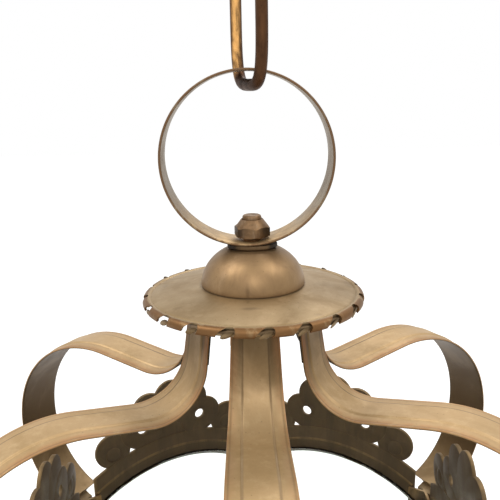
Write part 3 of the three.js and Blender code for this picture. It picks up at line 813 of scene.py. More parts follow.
def drill(item: bpy.types.Object, centre: Point, radius: float, depth: float = 120,
          length: float = 60) -> None:
    """Bores a hole from front to back through a piece.

    Args:
        item: the piece.
        centre: the hole's [across, height].
        radius: its radius.
        depth: how far the drill's middle is from the centre line.
        length: the drill's length.
    """
    deselect()
    bpy.ops.mesh.primitive_cylinder_add(
        vertices=32, radius=radius * MM, depth=length * MM,
        location=in_frame(centre[0], -depth, centre[1]), rotation=(math.pi / 2, 0, 0))
    cut_away(item, take("drill"))


def rod_along(name: str, route: Sequence[Vector], radii: Sequence[float] | float,
              closed: bool = False, sides: int = 6) -> bpy.types.Object:
    """A round rod along a route.

    Args:
        name: the piece's name.
        route: its centre points in mm, above the rim plane.
        radii: its radius, or one for each point.
        closed: whether it runs back into its start.
        sides: resolution of its section, a quarter's worth.

    Returns:
        The object.
    """
    drawing = bpy.data.curves.new(name, "CURVE")
    drawing.dimensions = "3D"
    drawing.bevel_depth = 1 * MM
    drawing.bevel_resolution = sides
    drawing.use_fill_caps = not closed
    line = drawing.splines.new("POLY")
    line.points.add(len(route) - 1)
    line.use_cyclic_u = closed
    for i, place in enumerate(route):
        line.points[i].co = (*in_frame(*place), 1)
        line.points[i].radius = radii if isinstance(radii, (int, float)) else radii[i]
    item = bpy.data.objects.new(name, drawing)
    bpy.context.scene.collection.objects.link(item)
    hold(item)
    bpy.ops.object.convert(target="MESH")
    item = bpy.context.active_object
    item.data.name = name
    tidy_normals(item)
    return item


def boss(name: str, centre: Vector, size: Vector, turn: float = 0.0,
         rings: int = 14) -> bpy.types.Object:
    """A rounded boss.

    Args:
        name: the piece's name.
        centre: its centre in mm, above the rim plane.
        size: its half sizes in mm.
        turn: its lean to the right as seen from the front, in radians.
        rings: how many rings of faces it has.

    Returns:
        The object.
    """
    deselect()
    bpy.ops.mesh.primitive_uv_sphere_add(segments=24, ring_count=rings, radius=1 * MM)
    item = take(name)
    item.data.transform(
        Matrix.Translation(in_frame(*centre))
        @ Matrix.Rotation(turn, 4, "Y") @ Matrix.Diagonal((*size, 1)))
    return item


def mark_wear(item: bpy.types.Object, strength: float = 1.0) -> None:
    """Writes how proud or hollow each point is, for rubbed edges and dark grooves.

    Args:
        item: the object.
        strength: how quickly an edge counts as rubbed.
    """
    form = bmesh.new()
    form.from_mesh(item.data)
    form.normal_update()
    bend = []
    for point in form.verts:
        leans = [
            (point.co - edge.other_vert(point).co).normalized().dot(point.normal)
            for edge in point.link_edges
        ]
        bend.append(sum(leans) / max(1, len(leans)))
    form.free()
    for name, sign in (("wear", 1), ("grime_and_painted_shade", -1)):
        values = [max(0.0, min(1.0, sign * b * EDGE_GAIN * strength)) for b in bend]
        layer(item, name).data.foreach_set("value", values)


def layer(item: bpy.types.Object, name: str) -> bpy.types.Attribute:
    """The point attribute of that name, added where it is missing."""
    known = item.data.attributes.get(name)
    return known or item.data.attributes.new(name, "FLOAT", "POINT")


def paint(item: bpy.types.Object, name: str, share: Mark) -> None:
    """Raises a point attribute by place and normal.

    Args:
        item: the object.
        name: one of LAYERS.
        share: gives 0 to 1 for a place in mm, above the rim plane, and a normal.
    """
    values = layer(item, name).data
    rim = Vector((0, 0, RIM_PLANE))
    for vert in item.data.vertices:
        wanted = share(vert.co / MM - rim, vert.normal)
        if wanted > values[vert.index].value:
            values[vert.index].value = min(1.0, wanted)


def fade(value: float, full: float, none: float) -> float:
    """One at the first value and beyond it, none at the second, straight between."""
    return max(0.0, min(1.0, (value - none) / (full - none)))


def facing(direction: Vector, full: float, none: float, strength: float = 1.0) -> Mark:
    """A mark on the faces that look in a direction.

    Args:
        direction: the direction, of length 1.
        full: how far a normal has to lean to it for the full mark.
        none: how far it leans where there is none.
        strength: of the full mark.

    Returns:
        The mark.
    """
    return lambda _, normal: strength * fade(normal.dot(direction), full, none)


def screw_head(name: str, across: float, height: float, seat: float, turn: float) -> bpy.types.Object:
    """A slotted round screw head on a face of the body.

    Args:
        name: the piece's name.
        across: its place along the side.
        height: its height above the rim plane.
        seat: how far the face is from the centre line.
        turn: how the slot was left, in radians.

    Returns:
        The object.
    """
    radius, sunk, proud, slot = 2.3, 0.4, 1.2, 0.6
    profile = [(radius, -sunk), (radius, 0.25), (radius * 0.86, 0.75), (radius * 0.5, 1.1), (0.25, proud)]
    head = turned(name, from_level(seat - RIM_PLANE, profile), faces=24)
    deselect()
    bpy.ops.mesh.primitive_cube_add(size=1 * MM, location=(0, 0, (seat + proud) * MM))
    tool = take("slot_tool")
    tool.data.transform(Matrix.Diagonal((radius * 2.4, slot, 1, 1)))
    cut_away(head, tool)
    head.data.transform(
        Matrix.Translation(in_frame(across, 0, height))
        @ Matrix.Rotation(math.pi / 2, 4, "X") @ Matrix.Rotation(turn, 4, "Z"))
    return head


# Camera and studio


@dataclass(frozen=True)
class PhotoCamera:
    """The photograph's camera, found by fitting the disc, ring and arms to its picture."""

    focal_px: float = 648.9
    frame_px: float = 500  # the photograph's width
    sensor: float = 36.0
    distance: float = 333.0  # from the centre line to the lens, in mm
    height: float = 108.9
    aside: float = -1.31  # to the right of the centre line
    pitch: float = 14.26
    roll: float = -1.13
    lantern_turn: float = 0.67

    def build(self) -> None:
        """Adds the camera and makes it the scene's."""
        data = bpy.data.cameras.new("photo_camera")
        data.sensor_width = self.sensor
        data.lens = self.focal_px / self.frame_px * self.sensor
        camera = bpy.data.objects.new("photo_camera", data)
        bpy.context.scene.collection.objects.link(camera)
        camera.matrix_world = (
            Matrix.Rotation(math.radians(-self.lantern_turn), 4, "Z")
            @ Matrix.Translation(in_frame(self.aside, -self.distance, self.height))
            @ Matrix.Rotation(math.radians(90 - self.pitch), 4, "X")
            @ Matrix.Rotation(math.radians(self.roll), 4, "Z"))
        bpy.context.scene.camera = camera


@dataclass(frozen=True)
class Studio:
    """A pale floor, a white background and soft boxes at both sides, as the dome's two lights show."""

    floor_drop: float = 30
    floor_size: float = 14000
    floor_tone: str = "f4f4f2"
    floor_glow: float = 0.42  # what lifts it to white for the eye
    ambient: float = 0.7
    box_size: float = 800
    box_distance: float = 1500
    box_power: float = 9.5
    # Name, side and height in degrees, and share of the power of each
    boxes: tuple[tuple[str, float, float, float], ...] = (
        ("key_left", -80, 55, 1.0), ("key_right", 80, 55, 0.74),
        ("front_fill", 0, 35, 0.55), ("back_fill", 165, 50, 0.5),
    )

    def build(self) -> None:
        """Adds the floor, the world and the lamps."""
        self.add_floor()
        self.add_world()
        for box in self.boxes:
            self.add_box(*box)

    def seen(self, tree: bpy.types.NodeTree) -> bpy.types.NodeSocket:
        """One where a ray comes from the camera, a glossy surface or glass.

        Args:
            tree: the node tree.

        Returns:
            The socket.
        """
        path = add_node(tree, "LightPath").outputs
        ray = path["Is Camera Ray"]
        for other in ("Is Glossy Ray", "Is Transmission Ray"):
            ray = add_node(tree, "Math", {0: ray, 1: path[other]}, operation="MAXIMUM").outputs[0]
        return ray

    def add_floor(self) -> None:
        """A pale floor under the lantern, which keeps its soft shadow."""
        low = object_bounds()[0].z - self.floor_drop * MM
        deselect()
        bpy.ops.mesh.primitive_plane_add(size=self.floor_size * MM, location=(0, 0, low))
        floor = take("studio_floor")
        material, tree = new_material("floor_paint")
        matt = add_node(tree, "BsdfDiffuse", {"Color": srgb(self.floor_tone)}).outputs[0]
        glow = add_node(tree, "Emission", {"Color": srgb("ffffff"), "Strength": self.floor_glow}).outputs[0]
        lifted = add_node(tree, "AddShader", {0: matt, 1: glow}).outputs[0]
        mix = add_node(tree, "MixShader", {0: self.seen(tree), 1: matt, 2: lifted})
        add_node(tree, "OutputMaterial", {"Surface": mix.outputs[0]})
        floor.data.materials.append(material)
        floor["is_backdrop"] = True

    def add_world(self) -> None:
        """White to the eye, and a softer light on the lantern."""
        world = bpy.data.worlds.new("studio")
        world.use_nodes = True
        tree = world.node_tree
        tree.nodes.clear()
        dim, white = (
            add_node(tree, "Background", {"Color": srgb("ffffff"), "Strength": strength}).outputs[0]
            for strength in (self.ambient, 1.0))
        mix = add_node(tree, "MixShader", {0: self.seen(tree), 1: dim, 2: white})
        add_node(tree, "OutputWorld", {"Surface": mix.outputs[0]})
        bpy.context.scene.world = world

    def add_box(self, name: str, azimuth: float, elevation: float, share: float) -> None:
        """Adds one soft box that faces the crown.

        Args:
            name: the lamp's name.
            azimuth: its side, in degrees from the front.
            elevation: its height, in degrees.
            share: of the full power.
        """
        data = bpy.data.lights.new(name, "AREA")
        data.shape = "DISK"
        data.size = self.box_size * MM
        data.energy = self.box_power * share
        lamp = bpy.data.objects.new(name, data)
        bpy.context.scene.collection.objects.link(lamp)
        a, e = math.radians(azimuth), math.radians(elevation)
        toward = Vector((math.sin(a) * math.cos(e), -math.cos(a) * math.cos(e), math.sin(e)))
        lamp.location = in_frame(0, 0, 0) + toward * self.box_distance * MM
        lamp.rotation_euler = toward.to_track_quat("Z", "Y").to_euler()


# The lantern's sub-assemblies


class SubAssembly:
    """A group of pieces that ride on one body and share a set of finishes."""

    materials: dict[Coat, bpy.types.Material] = {}
    body = "lantern"

    def finish_piece(self, item: bpy.types.Object, coat: Coat, *nodes: str, wear: float = 1.0,
                     marks: dict[str, Mark] | None = None) -> None:
        """Shades, dresses and fastens a piece, and hides the CAD nodes it stands for.

        Args:
            item: the piece, in place.
            coat: its finish.
            nodes: the CAD nodes that it replaces.
            wear: how strongly its edges are rubbed.
            marks: what to paint on which attribute.
        """
        hold(item)
        bpy.ops.object.shade_smooth_by_angle(angle=CREASE_ANGLE)
        if "wear" not in item.data.attributes:
            mark_wear(item, wear)
        for name, share in (marks or {}).items():
            paint(item, name, share)
        item.data.materials.clear()
        item.data.materials.append(self.materials[coat])
        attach(item, self.body)
        if nodes:
            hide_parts(*nodes)
        LOG.info("%s: %d faces on %s, %s", item.name, len(item.data.polygons), self.body, coat.value[1])


@dataclass
class ChainLink(SubAssembly):
    """The oval link of round wire that the ring hangs on."""

    wire: float = 6
    half_length: float = 37
    half_width: float = 18
    turn: float = 19.5
    roundness: float = 4  # of its outline; 2 is an ellipse, and more is squarer
    steps: int = 120
    sides: int = 20
    highlight_across: float = -6  # where the gold line of painted highlight runs, laid on as rubbed plating, to the right of the middle
    highlight_half: Point = (1.2, 3)  # half width where the line is full and where it ends
    highlight_depth: Point = (15, 10)  # how far back it is full and where it ends
    ragged: Triple = (0.25, 0.8, 0.31)  # depth and pace of the line's unevenness
    body = "chain"

    def point(self, angle: float) -> Vector:
        """Where the wire's centre is at an angle round the link, drawn flat."""
        across, up = (
            math.copysign(abs(v) ** (2 / self.roundness), v) for v in (math.cos(angle), math.sin(angle)))
        return Vector((0, self.half_width * across, self.half_length * up))

    def build(self) -> None:
        """Bends a torus of wire to the link's outline."""
        nudge = 1e-3  # radians, to see which way the wire runs
        low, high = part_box("chain_link")
        deselect()
        bpy.ops.mesh.primitive_torus_add(
            major_segments=self.steps, minor_segments=self.sides,
            major_radius=self.half_width * MM, minor_radius=self.wire / 2 * MM)
        item = take("link_wire")
        for vert in item.data.vertices:
            angle = math.atan2(vert.co.y, vert.co.x)
            out = out_from_middle(vert.co) / MM - self.half_width
            middle = self.point(angle)
            ahead = (self.point(angle + nudge) - middle).normalized()
            across = Vector((0, ahead.z, -ahead.y))
            vert.co = (middle + across * out) * MM + Vector((vert.co.z, 0, 0))
        item.data.transform(
            Matrix.Translation((0, 0, (low.z + high.z) / 2))
            @ Matrix.Rotation(math.radians(self.turn), 4, "Z"))
        tidy_normals(item)
        # The wear layer here is the far leg's painted highlight.
        self.finish_piece(item, Coat.WIRE, "chain_link", wear=0.0, marks={"wear": self.rubbed})

    def rubbed(self, place: Vector, _: Vector) -> float:
        """The painted highlight: a ragged gold line up the far leg, laid on as bare plating."""
        depth, quick, slow = self.ragged
        uneven = 1 - depth + depth * math.sin(place.z * quick) * math.sin(place.z * slow + place.x)
        return uneven * fade(place.y, *self.highlight_depth) * fade(abs(place.x - self.highlight_across), *self.highlight_half)


@dataclass
class HangingRing(SubAssembly):
    """A flat band rolled to a ring, with softly rounded edges."""

    radius: float = 44.2
    band: float = 21
    sheet: float = 1.3
    offset: float = -2  # of its centre, to the right
    rest: float = 28.7
    edge: float = 0.55
    steps: int = 200
    rub: float = 0.9  # how strongly the band's edges are rubbed
    rub_inset: Point = (0.25, 0.75)  # from the edge to where the rub is full and to where it ends
    gleam: float = 0.8  # how strong the painted light on its low inside is
    gleam_turn: Point = (20, -20)  # how far inside, in mm from the centre, that is full and where it ends
    gleam_top: float = 0.7  # where it ends, as a share of the radius

    @property
    def middle(self) -> float:
        """Height of the ring's centre."""
        return self.rest + self.radius

    def build(self) -> None:
        """Spins the band's section round the ring's centre."""
        deselect()
        bpy.ops.mesh.primitive_plane_add(size=1 * MM)
        item = take("ring_band")
        with editing(item):
            bpy.ops.transform.resize(value=(self.sheet, self.band, 1))
            bpy.ops.transform.translate(value=((self.radius - self.sheet / 2) * MM, 0, 0))
            bpy.ops.mesh.select_mode(type="EDGE")
            bpy.ops.mesh.bevel(offset=self.edge * MM, segments=4, affect="VERTICES")
            bpy.ops.mesh.select_all(action="SELECT")
            bpy.ops.mesh.spin(steps=self.steps, angle=2 * math.pi, center=(0, 0, 0), axis=(0, 1, 0))
            bpy.ops.mesh.select_all(action="SELECT")
            bpy.ops.mesh.remove_doubles(threshold=2 * MERGE * MM)
            bpy.ops.mesh.delete_loose()
        with editing(item, "DESELECT"):
            bpy.ops.mesh.select_interior_faces()
            bpy.ops.mesh.delete(type="ONLY_FACE")
        item.data.transform(Matrix.Translation(in_frame(self.offset, 0, self.middle)))
        tidy_normals(item)
        # The third layer here is painted light, in the band's pale colour.
        marks = {"wear": self.rubbed, "soot_and_painted_light": self.painted_light_inside}
        self.finish_piece(item, Coat.BAND, "hanging_ring", wear=0.0, marks=marks)

    def rubbed(self, place: Vector, _: Vector) -> float:
        """How rubbed the band's two edges are."""
        full, none = (self.band / 2 - inset for inset in self.rub_inset)
        return self.rub * fade(abs(place.y), full, none)

    def painted_light_inside(self, place: Vector, normal: Vector) -> float:
        """Painted light: how much lighter the low inside is, where the band faces up."""
        inward = -(normal.x * (place.x - self.offset) + normal.z * (place.z - self.middle))
        top = self.rest + self.radius * self.gleam_top
        return self.gleam * fade(inward, *self.gleam_turn) * fade(place.z, self.rest, top)


@dataclass
class Stem(SubAssembly):
    """Centre stud with its thread, the nuts and the saddle washer."""

    radius: float = 5
    low: float = -24
    plain_top: float = 20
    thread_low: float = 22
    thread_end: float = 4  # from the thread's upper end to the stud's
    thread: float = 1.5  # from ridge to ridge
    groove: float = 0.45  # depth between the ridges
    end_round: float = 1.3
    # Points of the stud's end inside its rounding: radius, and height from the end
    end_face: tuple[Point, ...] = ((2.0, -0.35), (0.6, -0.5))
    flats: float = 17
    cone: float = 3  # how far down from its top the nut is coned
    face: float = 0.5  # points this near to the nut's top belong to it
    clear: float = 1  # points nearer to the stud than this belong to the nut's bore
    flare: float = 0.9  # how far its cone runs up against the stud
    ring_rest: float = 28.7
    saddle_radius: float = 13.2
    saddle_depth: float = 9
    saddle_height: float = 2.4
    saddle_rounds: Point = (0.8, 0.6)  # rounding of its lower and upper edge

    def build(self) -> None:
        """Builds the stud, the two nuts and the saddle."""
        self.stud()
        self.nut()
        self.finish_piece(eased("hub_nut", 0.35, 3), Coat.STEEL, "hub_nut", wear=0.7)
        self.saddle()

    def stud(self) -> None:
        """A turned stud with ridges of thread and a worn round end."""
        r, turn = self.radius, self.end_round
        profile = [(r - 1, self.low), (r, self.low + 1), (r, self.plain_top)]
        height = self.thread_low
        while height < STUD_TOP - self.thread_end:
            profile += [(r - self.groove, height), (r, height + self.thread / 2)]
            height += self.thread
        profile += arc((r - turn, STUD_TOP - turn), turn, 0, 80, 6)
        item = turned("threaded_stud", profile + from_level(STUD_TOP, self.end_face), faces=48)
        self.finish_piece(item, Coat.STEEL, "center_stud")

    def nut(self) -> None:
        """The ring's hexagon nut; its cone runs up against the stud."""
        item = from_node("ring_nut")
        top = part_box("ring_nut")[1].z
        bore, side = self.radius + self.clear, self.flats / 2
        for vert in item.data.vertices:
            out = out_from_middle(vert.co) / MM
            x, y, z = vert.co
            if z > top - self.face * MM and out > bore:
                share = (bore - 0.25) / out
                vert.co = Vector((x * share, y * share, top + self.flare * MM))
            elif z > top - self.cone * MM and bore < out < side - 0.5:
                share = (side - 0.4) / out
                vert.co = Vector((x * share, y * share, z))
            elif z > top - self.face * MM:
                vert.co.z = top + (self.flare - 0.2) * MM
        soften(item, 0.35, 3)
        self.finish_piece(item, Coat.STEEL, "ring_nut", wear=0.7, marks={"grime_and_painted_shade": self.dirty_flats})

    def dirty_flats(self, place: Vector, normal: Vector) -> float:
        """How much dirt darkens the nut's flats, most in their middle."""
        side = fade(abs(normal.z), 0.1, 0.5)
        return side * (0.55 * fade(abs(place.x), 5.5, 3.0) + 0.15 * (place.y < 0))

    def saddle(self) -> None:
        """The dark washer between ring and dome."""
        top = self.ring_rest - GAP
        low = top - self.saddle_height
        out, bore = self.saddle_radius, self.radius + GAP
        under, over = self.saddle_rounds
        item = turned("saddle_plate", [
            *arc((out - under, low + under), under, -90, 0, 4),
            *arc((out - over, top - over), over, 0, 90, 4),
        ], faces=72)
        with editing(item):
            bpy.ops.transform.resize(value=(1, self.saddle_depth / out, 1), center_override=(0, 0, 0))
        cut_away(item, turned("saddle_bore", [(bore, low - 1), (bore, top + 1)], faces=40))
        self.finish_piece(item, Coat.IRON, "saddle_washer", wear=0.0, marks={"wear": self.brown_middle})

    def brown_middle(self, place: Vector, _: Vector) -> float:
        """How brown the washer is; only its two ends are black."""
        return fade(abs(place.x), 6.5, 10.0)


@dataclass
class Canopy(SubAssembly):
    """Dome cap and the dished disc with its rolled, notched edge."""

    radius: float = 59
    sheet: float = 1.2
    bore: float = 5.3
    rise: float = 6.1
    dish_radius: float = 56.4  # where the dish is at edge_top
    dish_end: float = 53.6  # where the roll takes over
    edge_top: float = 1.5  # height of the dish at dish_radius
    drop: float = 2.4  # of the roll's lower edge below the rim plane
    roll: float = 2.9
    roll_radius: float = 56.1
    roll_height: float = -0.75
    roll_start: float = 125
    roll_inside: float = 75
    rings: int = 60
    faces: int = 240
    notches: int = 20
    notch_length: float = 10.5
    notch_height: float = 5.8
    notch_slant: float = 28
    notch_depth: float = 3.0
    notch_drop: float = 1.2  # of the notches' middle below the rim plane
    notch_phase: float = 0.22  # place of the first notch, as a share of the spacing
    core_start: float = -28  # where the roll's inner turn starts, in degrees from the front
    core_open: float = 50  # how much of the rim has no inner turn
    tongue: Triple = (3.7, 0.4, 1.5)  # half sizes of the slip that a notch presses in
    # A tongue's place along the rim, inward from it and below the rim plane
    tongue_place: Triple = (0.8, 1.1, 1.3)
    tongue_lift: float = 1.5  # how much higher the tongues stand at the back
    # Its lean, and how much less and more that may be
    tongue_lean: Triple = (14, 5, 7)
    dome_radius: float = 27.6
    dome_swell: float = 22.2  # height of the full bowl of which the dome is the upper part
    dome_top: float = 25.7
    dome_sheet: float = 1.4
    seam: float = -3.2  # place of the dome's upright seam, to the right
    # Place, half width, half depth and strength of each dark patch on the disc: the first, at the right, is a
    # painted darker reflection; the second darkens the front by the rim; the rest are stain marks
    stains_and_painted_reflection: tuple[tuple[float, ...], ...] = (
        (40, -12, 30, 32, 0.3), (0, -47, 44, 10, 0.18), (-2, -38, 8, 2.6, 0.4),
        (-3.2, -30.5, 1.5, 4, 0.3), (52, 5, 5, 14, 0.3), (-38, -30, 4, 3, 0.25),
        (30, -42, 5, 2.5, 0.25), (-48, 8, 3, 7, 0.25), (18, 44, 8, 4, 0.3),
    )

    @property
    def dome_base(self) -> float:
        """Height of the dome's foot."""
        return self.dish(self.dome_radius) + GAP

    def dish(self, radius: float) -> float:
        """Height of the disc's upper side at a radius."""
        return self.edge_top + self.rise * (1 - (radius / self.dish_radius) ** 2)

    def notch_turn(self, i: int) -> float:
        """A notch's place, in radians round from the front."""
        return (i + self.notch_phase) / self.notches * 2 * math.pi

    def build(self) -> None:
        """Builds the disc, its rolled core and pressed tongues, and the dome."""
        self.disc()
        self.core()
        self.tongues()
        self.dome()

    def disc(self) -> None:
        """Turns the disc and cuts its slanted notches."""
        low_edge = -math.degrees(math.asin((self.drop + self.roll_height) / self.roll))
        reach = self.dish_end - self.bore
        radii = [self.bore + reach * i / self.rings for i in range(self.rings + 1)]
        upper = [(r, self.dish(r)) for r in radii]
        under = [(r, h - self.sheet) for r, h in reversed(upper[::6])]
        centre = (self.roll_radius, self.roll_height)
        item = turned("canopy_sheet", [
            *upper, *arc(centre, self.roll, self.roll_start, low_edge, 18),
            *arc(centre, self.roll - self.sheet, low_edge, self.roll_inside, 8), *under, upper[0],
        ], Ends.JOINED, self.faces)
        cut_away(item, self.notch_tools())
        # Painted shadow and darker reflection go on the second layer, painted shade on the third.
        marks = {"wear": self.rubbed_rim, "grime_and_painted_shade": self.shade_and_stains, "soot_and_painted_light": self.smoked}
        self.finish_piece(item, Coat.DISC, "canopy_disc", wear=0.0, marks=marks)

    def rubbed_rim(self, place: Vector, _: Vector) -> float:
        """How rubbed the rolled edge is."""
        return fade(out_from_middle(place), self.radius - 2.1, self.radius - 3.1)

    def shade_and_stains(self, place: Vector, _: Vector) -> float:
        """How dark the disc is: a painted shadow round the dome's foot, and the patches, of which the one at
        the right is a painted darker reflection.

        Args:
            place: a place on the disc.

        Returns:
            The strength.
        """
        # painted shadow round the dome's foot
        ring = 0.4 * fade(abs(out_from_middle(place) - self.dome_radius - 0.3), 0.3, 1.2)
        return max(ring, *(
            strength * fade(math.hypot((place.x - x) / wide, (place.y - y) / deep), 0.3, 1.0)
            for x, y, wide, deep, strength in self.stains_and_painted_reflection))

    def smoked(self, place: Vector, normal: Vector) -> float:
        """How much darker the disc is below and on the lower side of its roll: painted shade on the rounded
        roll, and below also browning by the candles.

        Args:
            place: a place on the disc.
            normal: the surface's normal there.

        Returns:
            The strength.
        """
        outside = fade(out_from_middle(place), self.radius - 1.5, self.radius - 3)
        return max(0.8 * fade(normal.z, -0.6, -0.1), 0.8 * fade(place.z, -2.3, -1.5),
                   0.5 * fade(place.z, -2.2, 1.2) * outside)

    def notch_tools(self) -> bpy.types.Object:
        """All the notch tools as one object.

        Returns:
            The object.
        """
        tools = []
        for i in range(self.notches):
            deselect()
            bpy.ops.mesh.primitive_cylinder_add(vertices=24, radius=1 * MM, depth=2 * self.notch_depth * MM)
            tool = take(f"notch_tool_{i}")
            tool.data.transform(
                Matrix.Rotation(self.notch_turn(i), 4, "Z")
                @ Matrix.Translation(in_frame(0, -self.radius, -self.notch_drop))
                @ Matrix.Rotation(math.radians(-self.notch_slant), 4, "Y")
                @ Matrix.Diagonal((self.notch_length / 2, 1, self.notch_height / 2, 1))
                @ Matrix.Rotation(math.pi / 2, 4, "X"))
            tools.append(tool)
        return joined("notch_tools", *tools)

    def core(self) -> None:
        """The rolled edge's inner turn, seen dark through the notches; it is open at the left."""
        steps, play = 180, 0.06
        turns = [math.radians(self.core_start + (360 - self.core_open) * i / steps) for i in range(steps + 1)]
        route = [
            Vector((self.roll_radius * math.sin(t), -self.roll_radius * math.cos(t), self.roll_height))
            for t in turns
        ]
        item = rod_along("rolled_core", route, self.roll - self.sheet - play, sides=5)
        # painted shadow: the upper part of the turn is dark, under the roll
        painted_shadow = {"grime_and_painted_shade": lambda place, _: fade(place.z, -0.2, -1.6)}
        self.finish_piece(item, Coat.DISC, wear=0.0, marks=painted_shadow)

    def tongues(self) -> None:
        """The slip of metal that each notch has pressed inward; at the back they stand up."""
        draws = random.Random(11)
        along, inward, drop = self.tongue_place
        lean, less, more = self.tongue_lean
        items = []
        for i in range(self.notches):
            lifted = self.tongue_lift * fade(-math.cos(self.notch_turn(i)), 0.5, 0.2)
            deselect()
            bpy.ops.mesh.primitive_uv_sphere_add(segments=24, ring_count=12, radius=1 * MM)
            item = take(f"tongue_{i}")
            item.data.transform(
                Matrix.Rotation(self.notch_turn(i), 4, "Z")
                @ Matrix.Translation(in_frame(along, inward - self.radius, lifted - drop))
                @ Matrix.Rotation(math.radians(-self.notch_slant), 4, "Y")
                @ Matrix.Rotation(math.radians(lean + draws.uniform(-less, more)), 4, "X")
                @ Matrix.Diagonal((*self.tongue, 1)))
            items.append(item)
        # painted shade: the tongues are darker all over, set back in the notches, and darkest at their tops,
        # under the roll
        painted_shadow = {"grime_and_painted_shade": lambda place, _: 0.4 + 0.4 * fade(place.z, 0.6, -1.0)}
        self.finish_piece(joined("pressed_tongues", *items), Coat.DISC, wear=0.0, marks=painted_shadow)

    def bowl(self, inset: float, steps: int) -> list[Point]:
        """Points of the dome's side, from its top down to its foot.

        Args:
            inset: how far inside the outer side it runs.
            steps: how many pieces.

        Returns:
            The points.
        """
        radius, swell, base = self.dome_radius - inset, self.dome_swell - inset, self.dome_base
        start = math.asin(min(1.0, (self.dome_top - inset - base) / swell))
        turns = [start * (1 - i / steps) for i in range(steps + 1)]
        return [(radius * math.cos(t), base + swell * math.sin(t)) for t in turns]

    def dome(self) -> None:
        """Spins the dome, with a painted shadow at its foot and its faint upright seam."""
        top, under = (self.bore, self.dome_top), (self.bore, self.dome_top - self.dome_sheet)
        profile = [top, *self.bowl(0, 32), *reversed(self.bowl(self.dome_sheet, 12)), under, top]
        item = turned("dome_shell", profile, Ends.JOINED, self.faces)
        self.finish_piece(item, Coat.DOME, "dome_cap", wear=0.0, marks={"grime_and_painted_shade": self.dome_shadow_and_seam})

    def dome_shadow_and_seam(self, place: Vector, _: Vector) -> float:
        """How dark the dome is: painted shadow at its foot and on both sides of its neck, and its darker
        upright seam.

        Args:
            place: a place on the dome.

        Returns:
            The strength.
        """
        height = place.z - self.dome_base
        # painted shadow where the dome meets the disc
        foot = 0.45 * fade(height, 0.2, 1.2)
        seam = 0.4 * fade(abs(place.x - self.seam), 0.3, 1.9) * fade(height, 4, 11) * (place.y < 0)
        # painted shadow on both sides of the neck, under the ring
        neck = 0.6 * fade(out_from_middle(place), 9, 13) * fade(abs(place.x), 9, 6) * (height > 12)
        return max(foot, seam, neck)


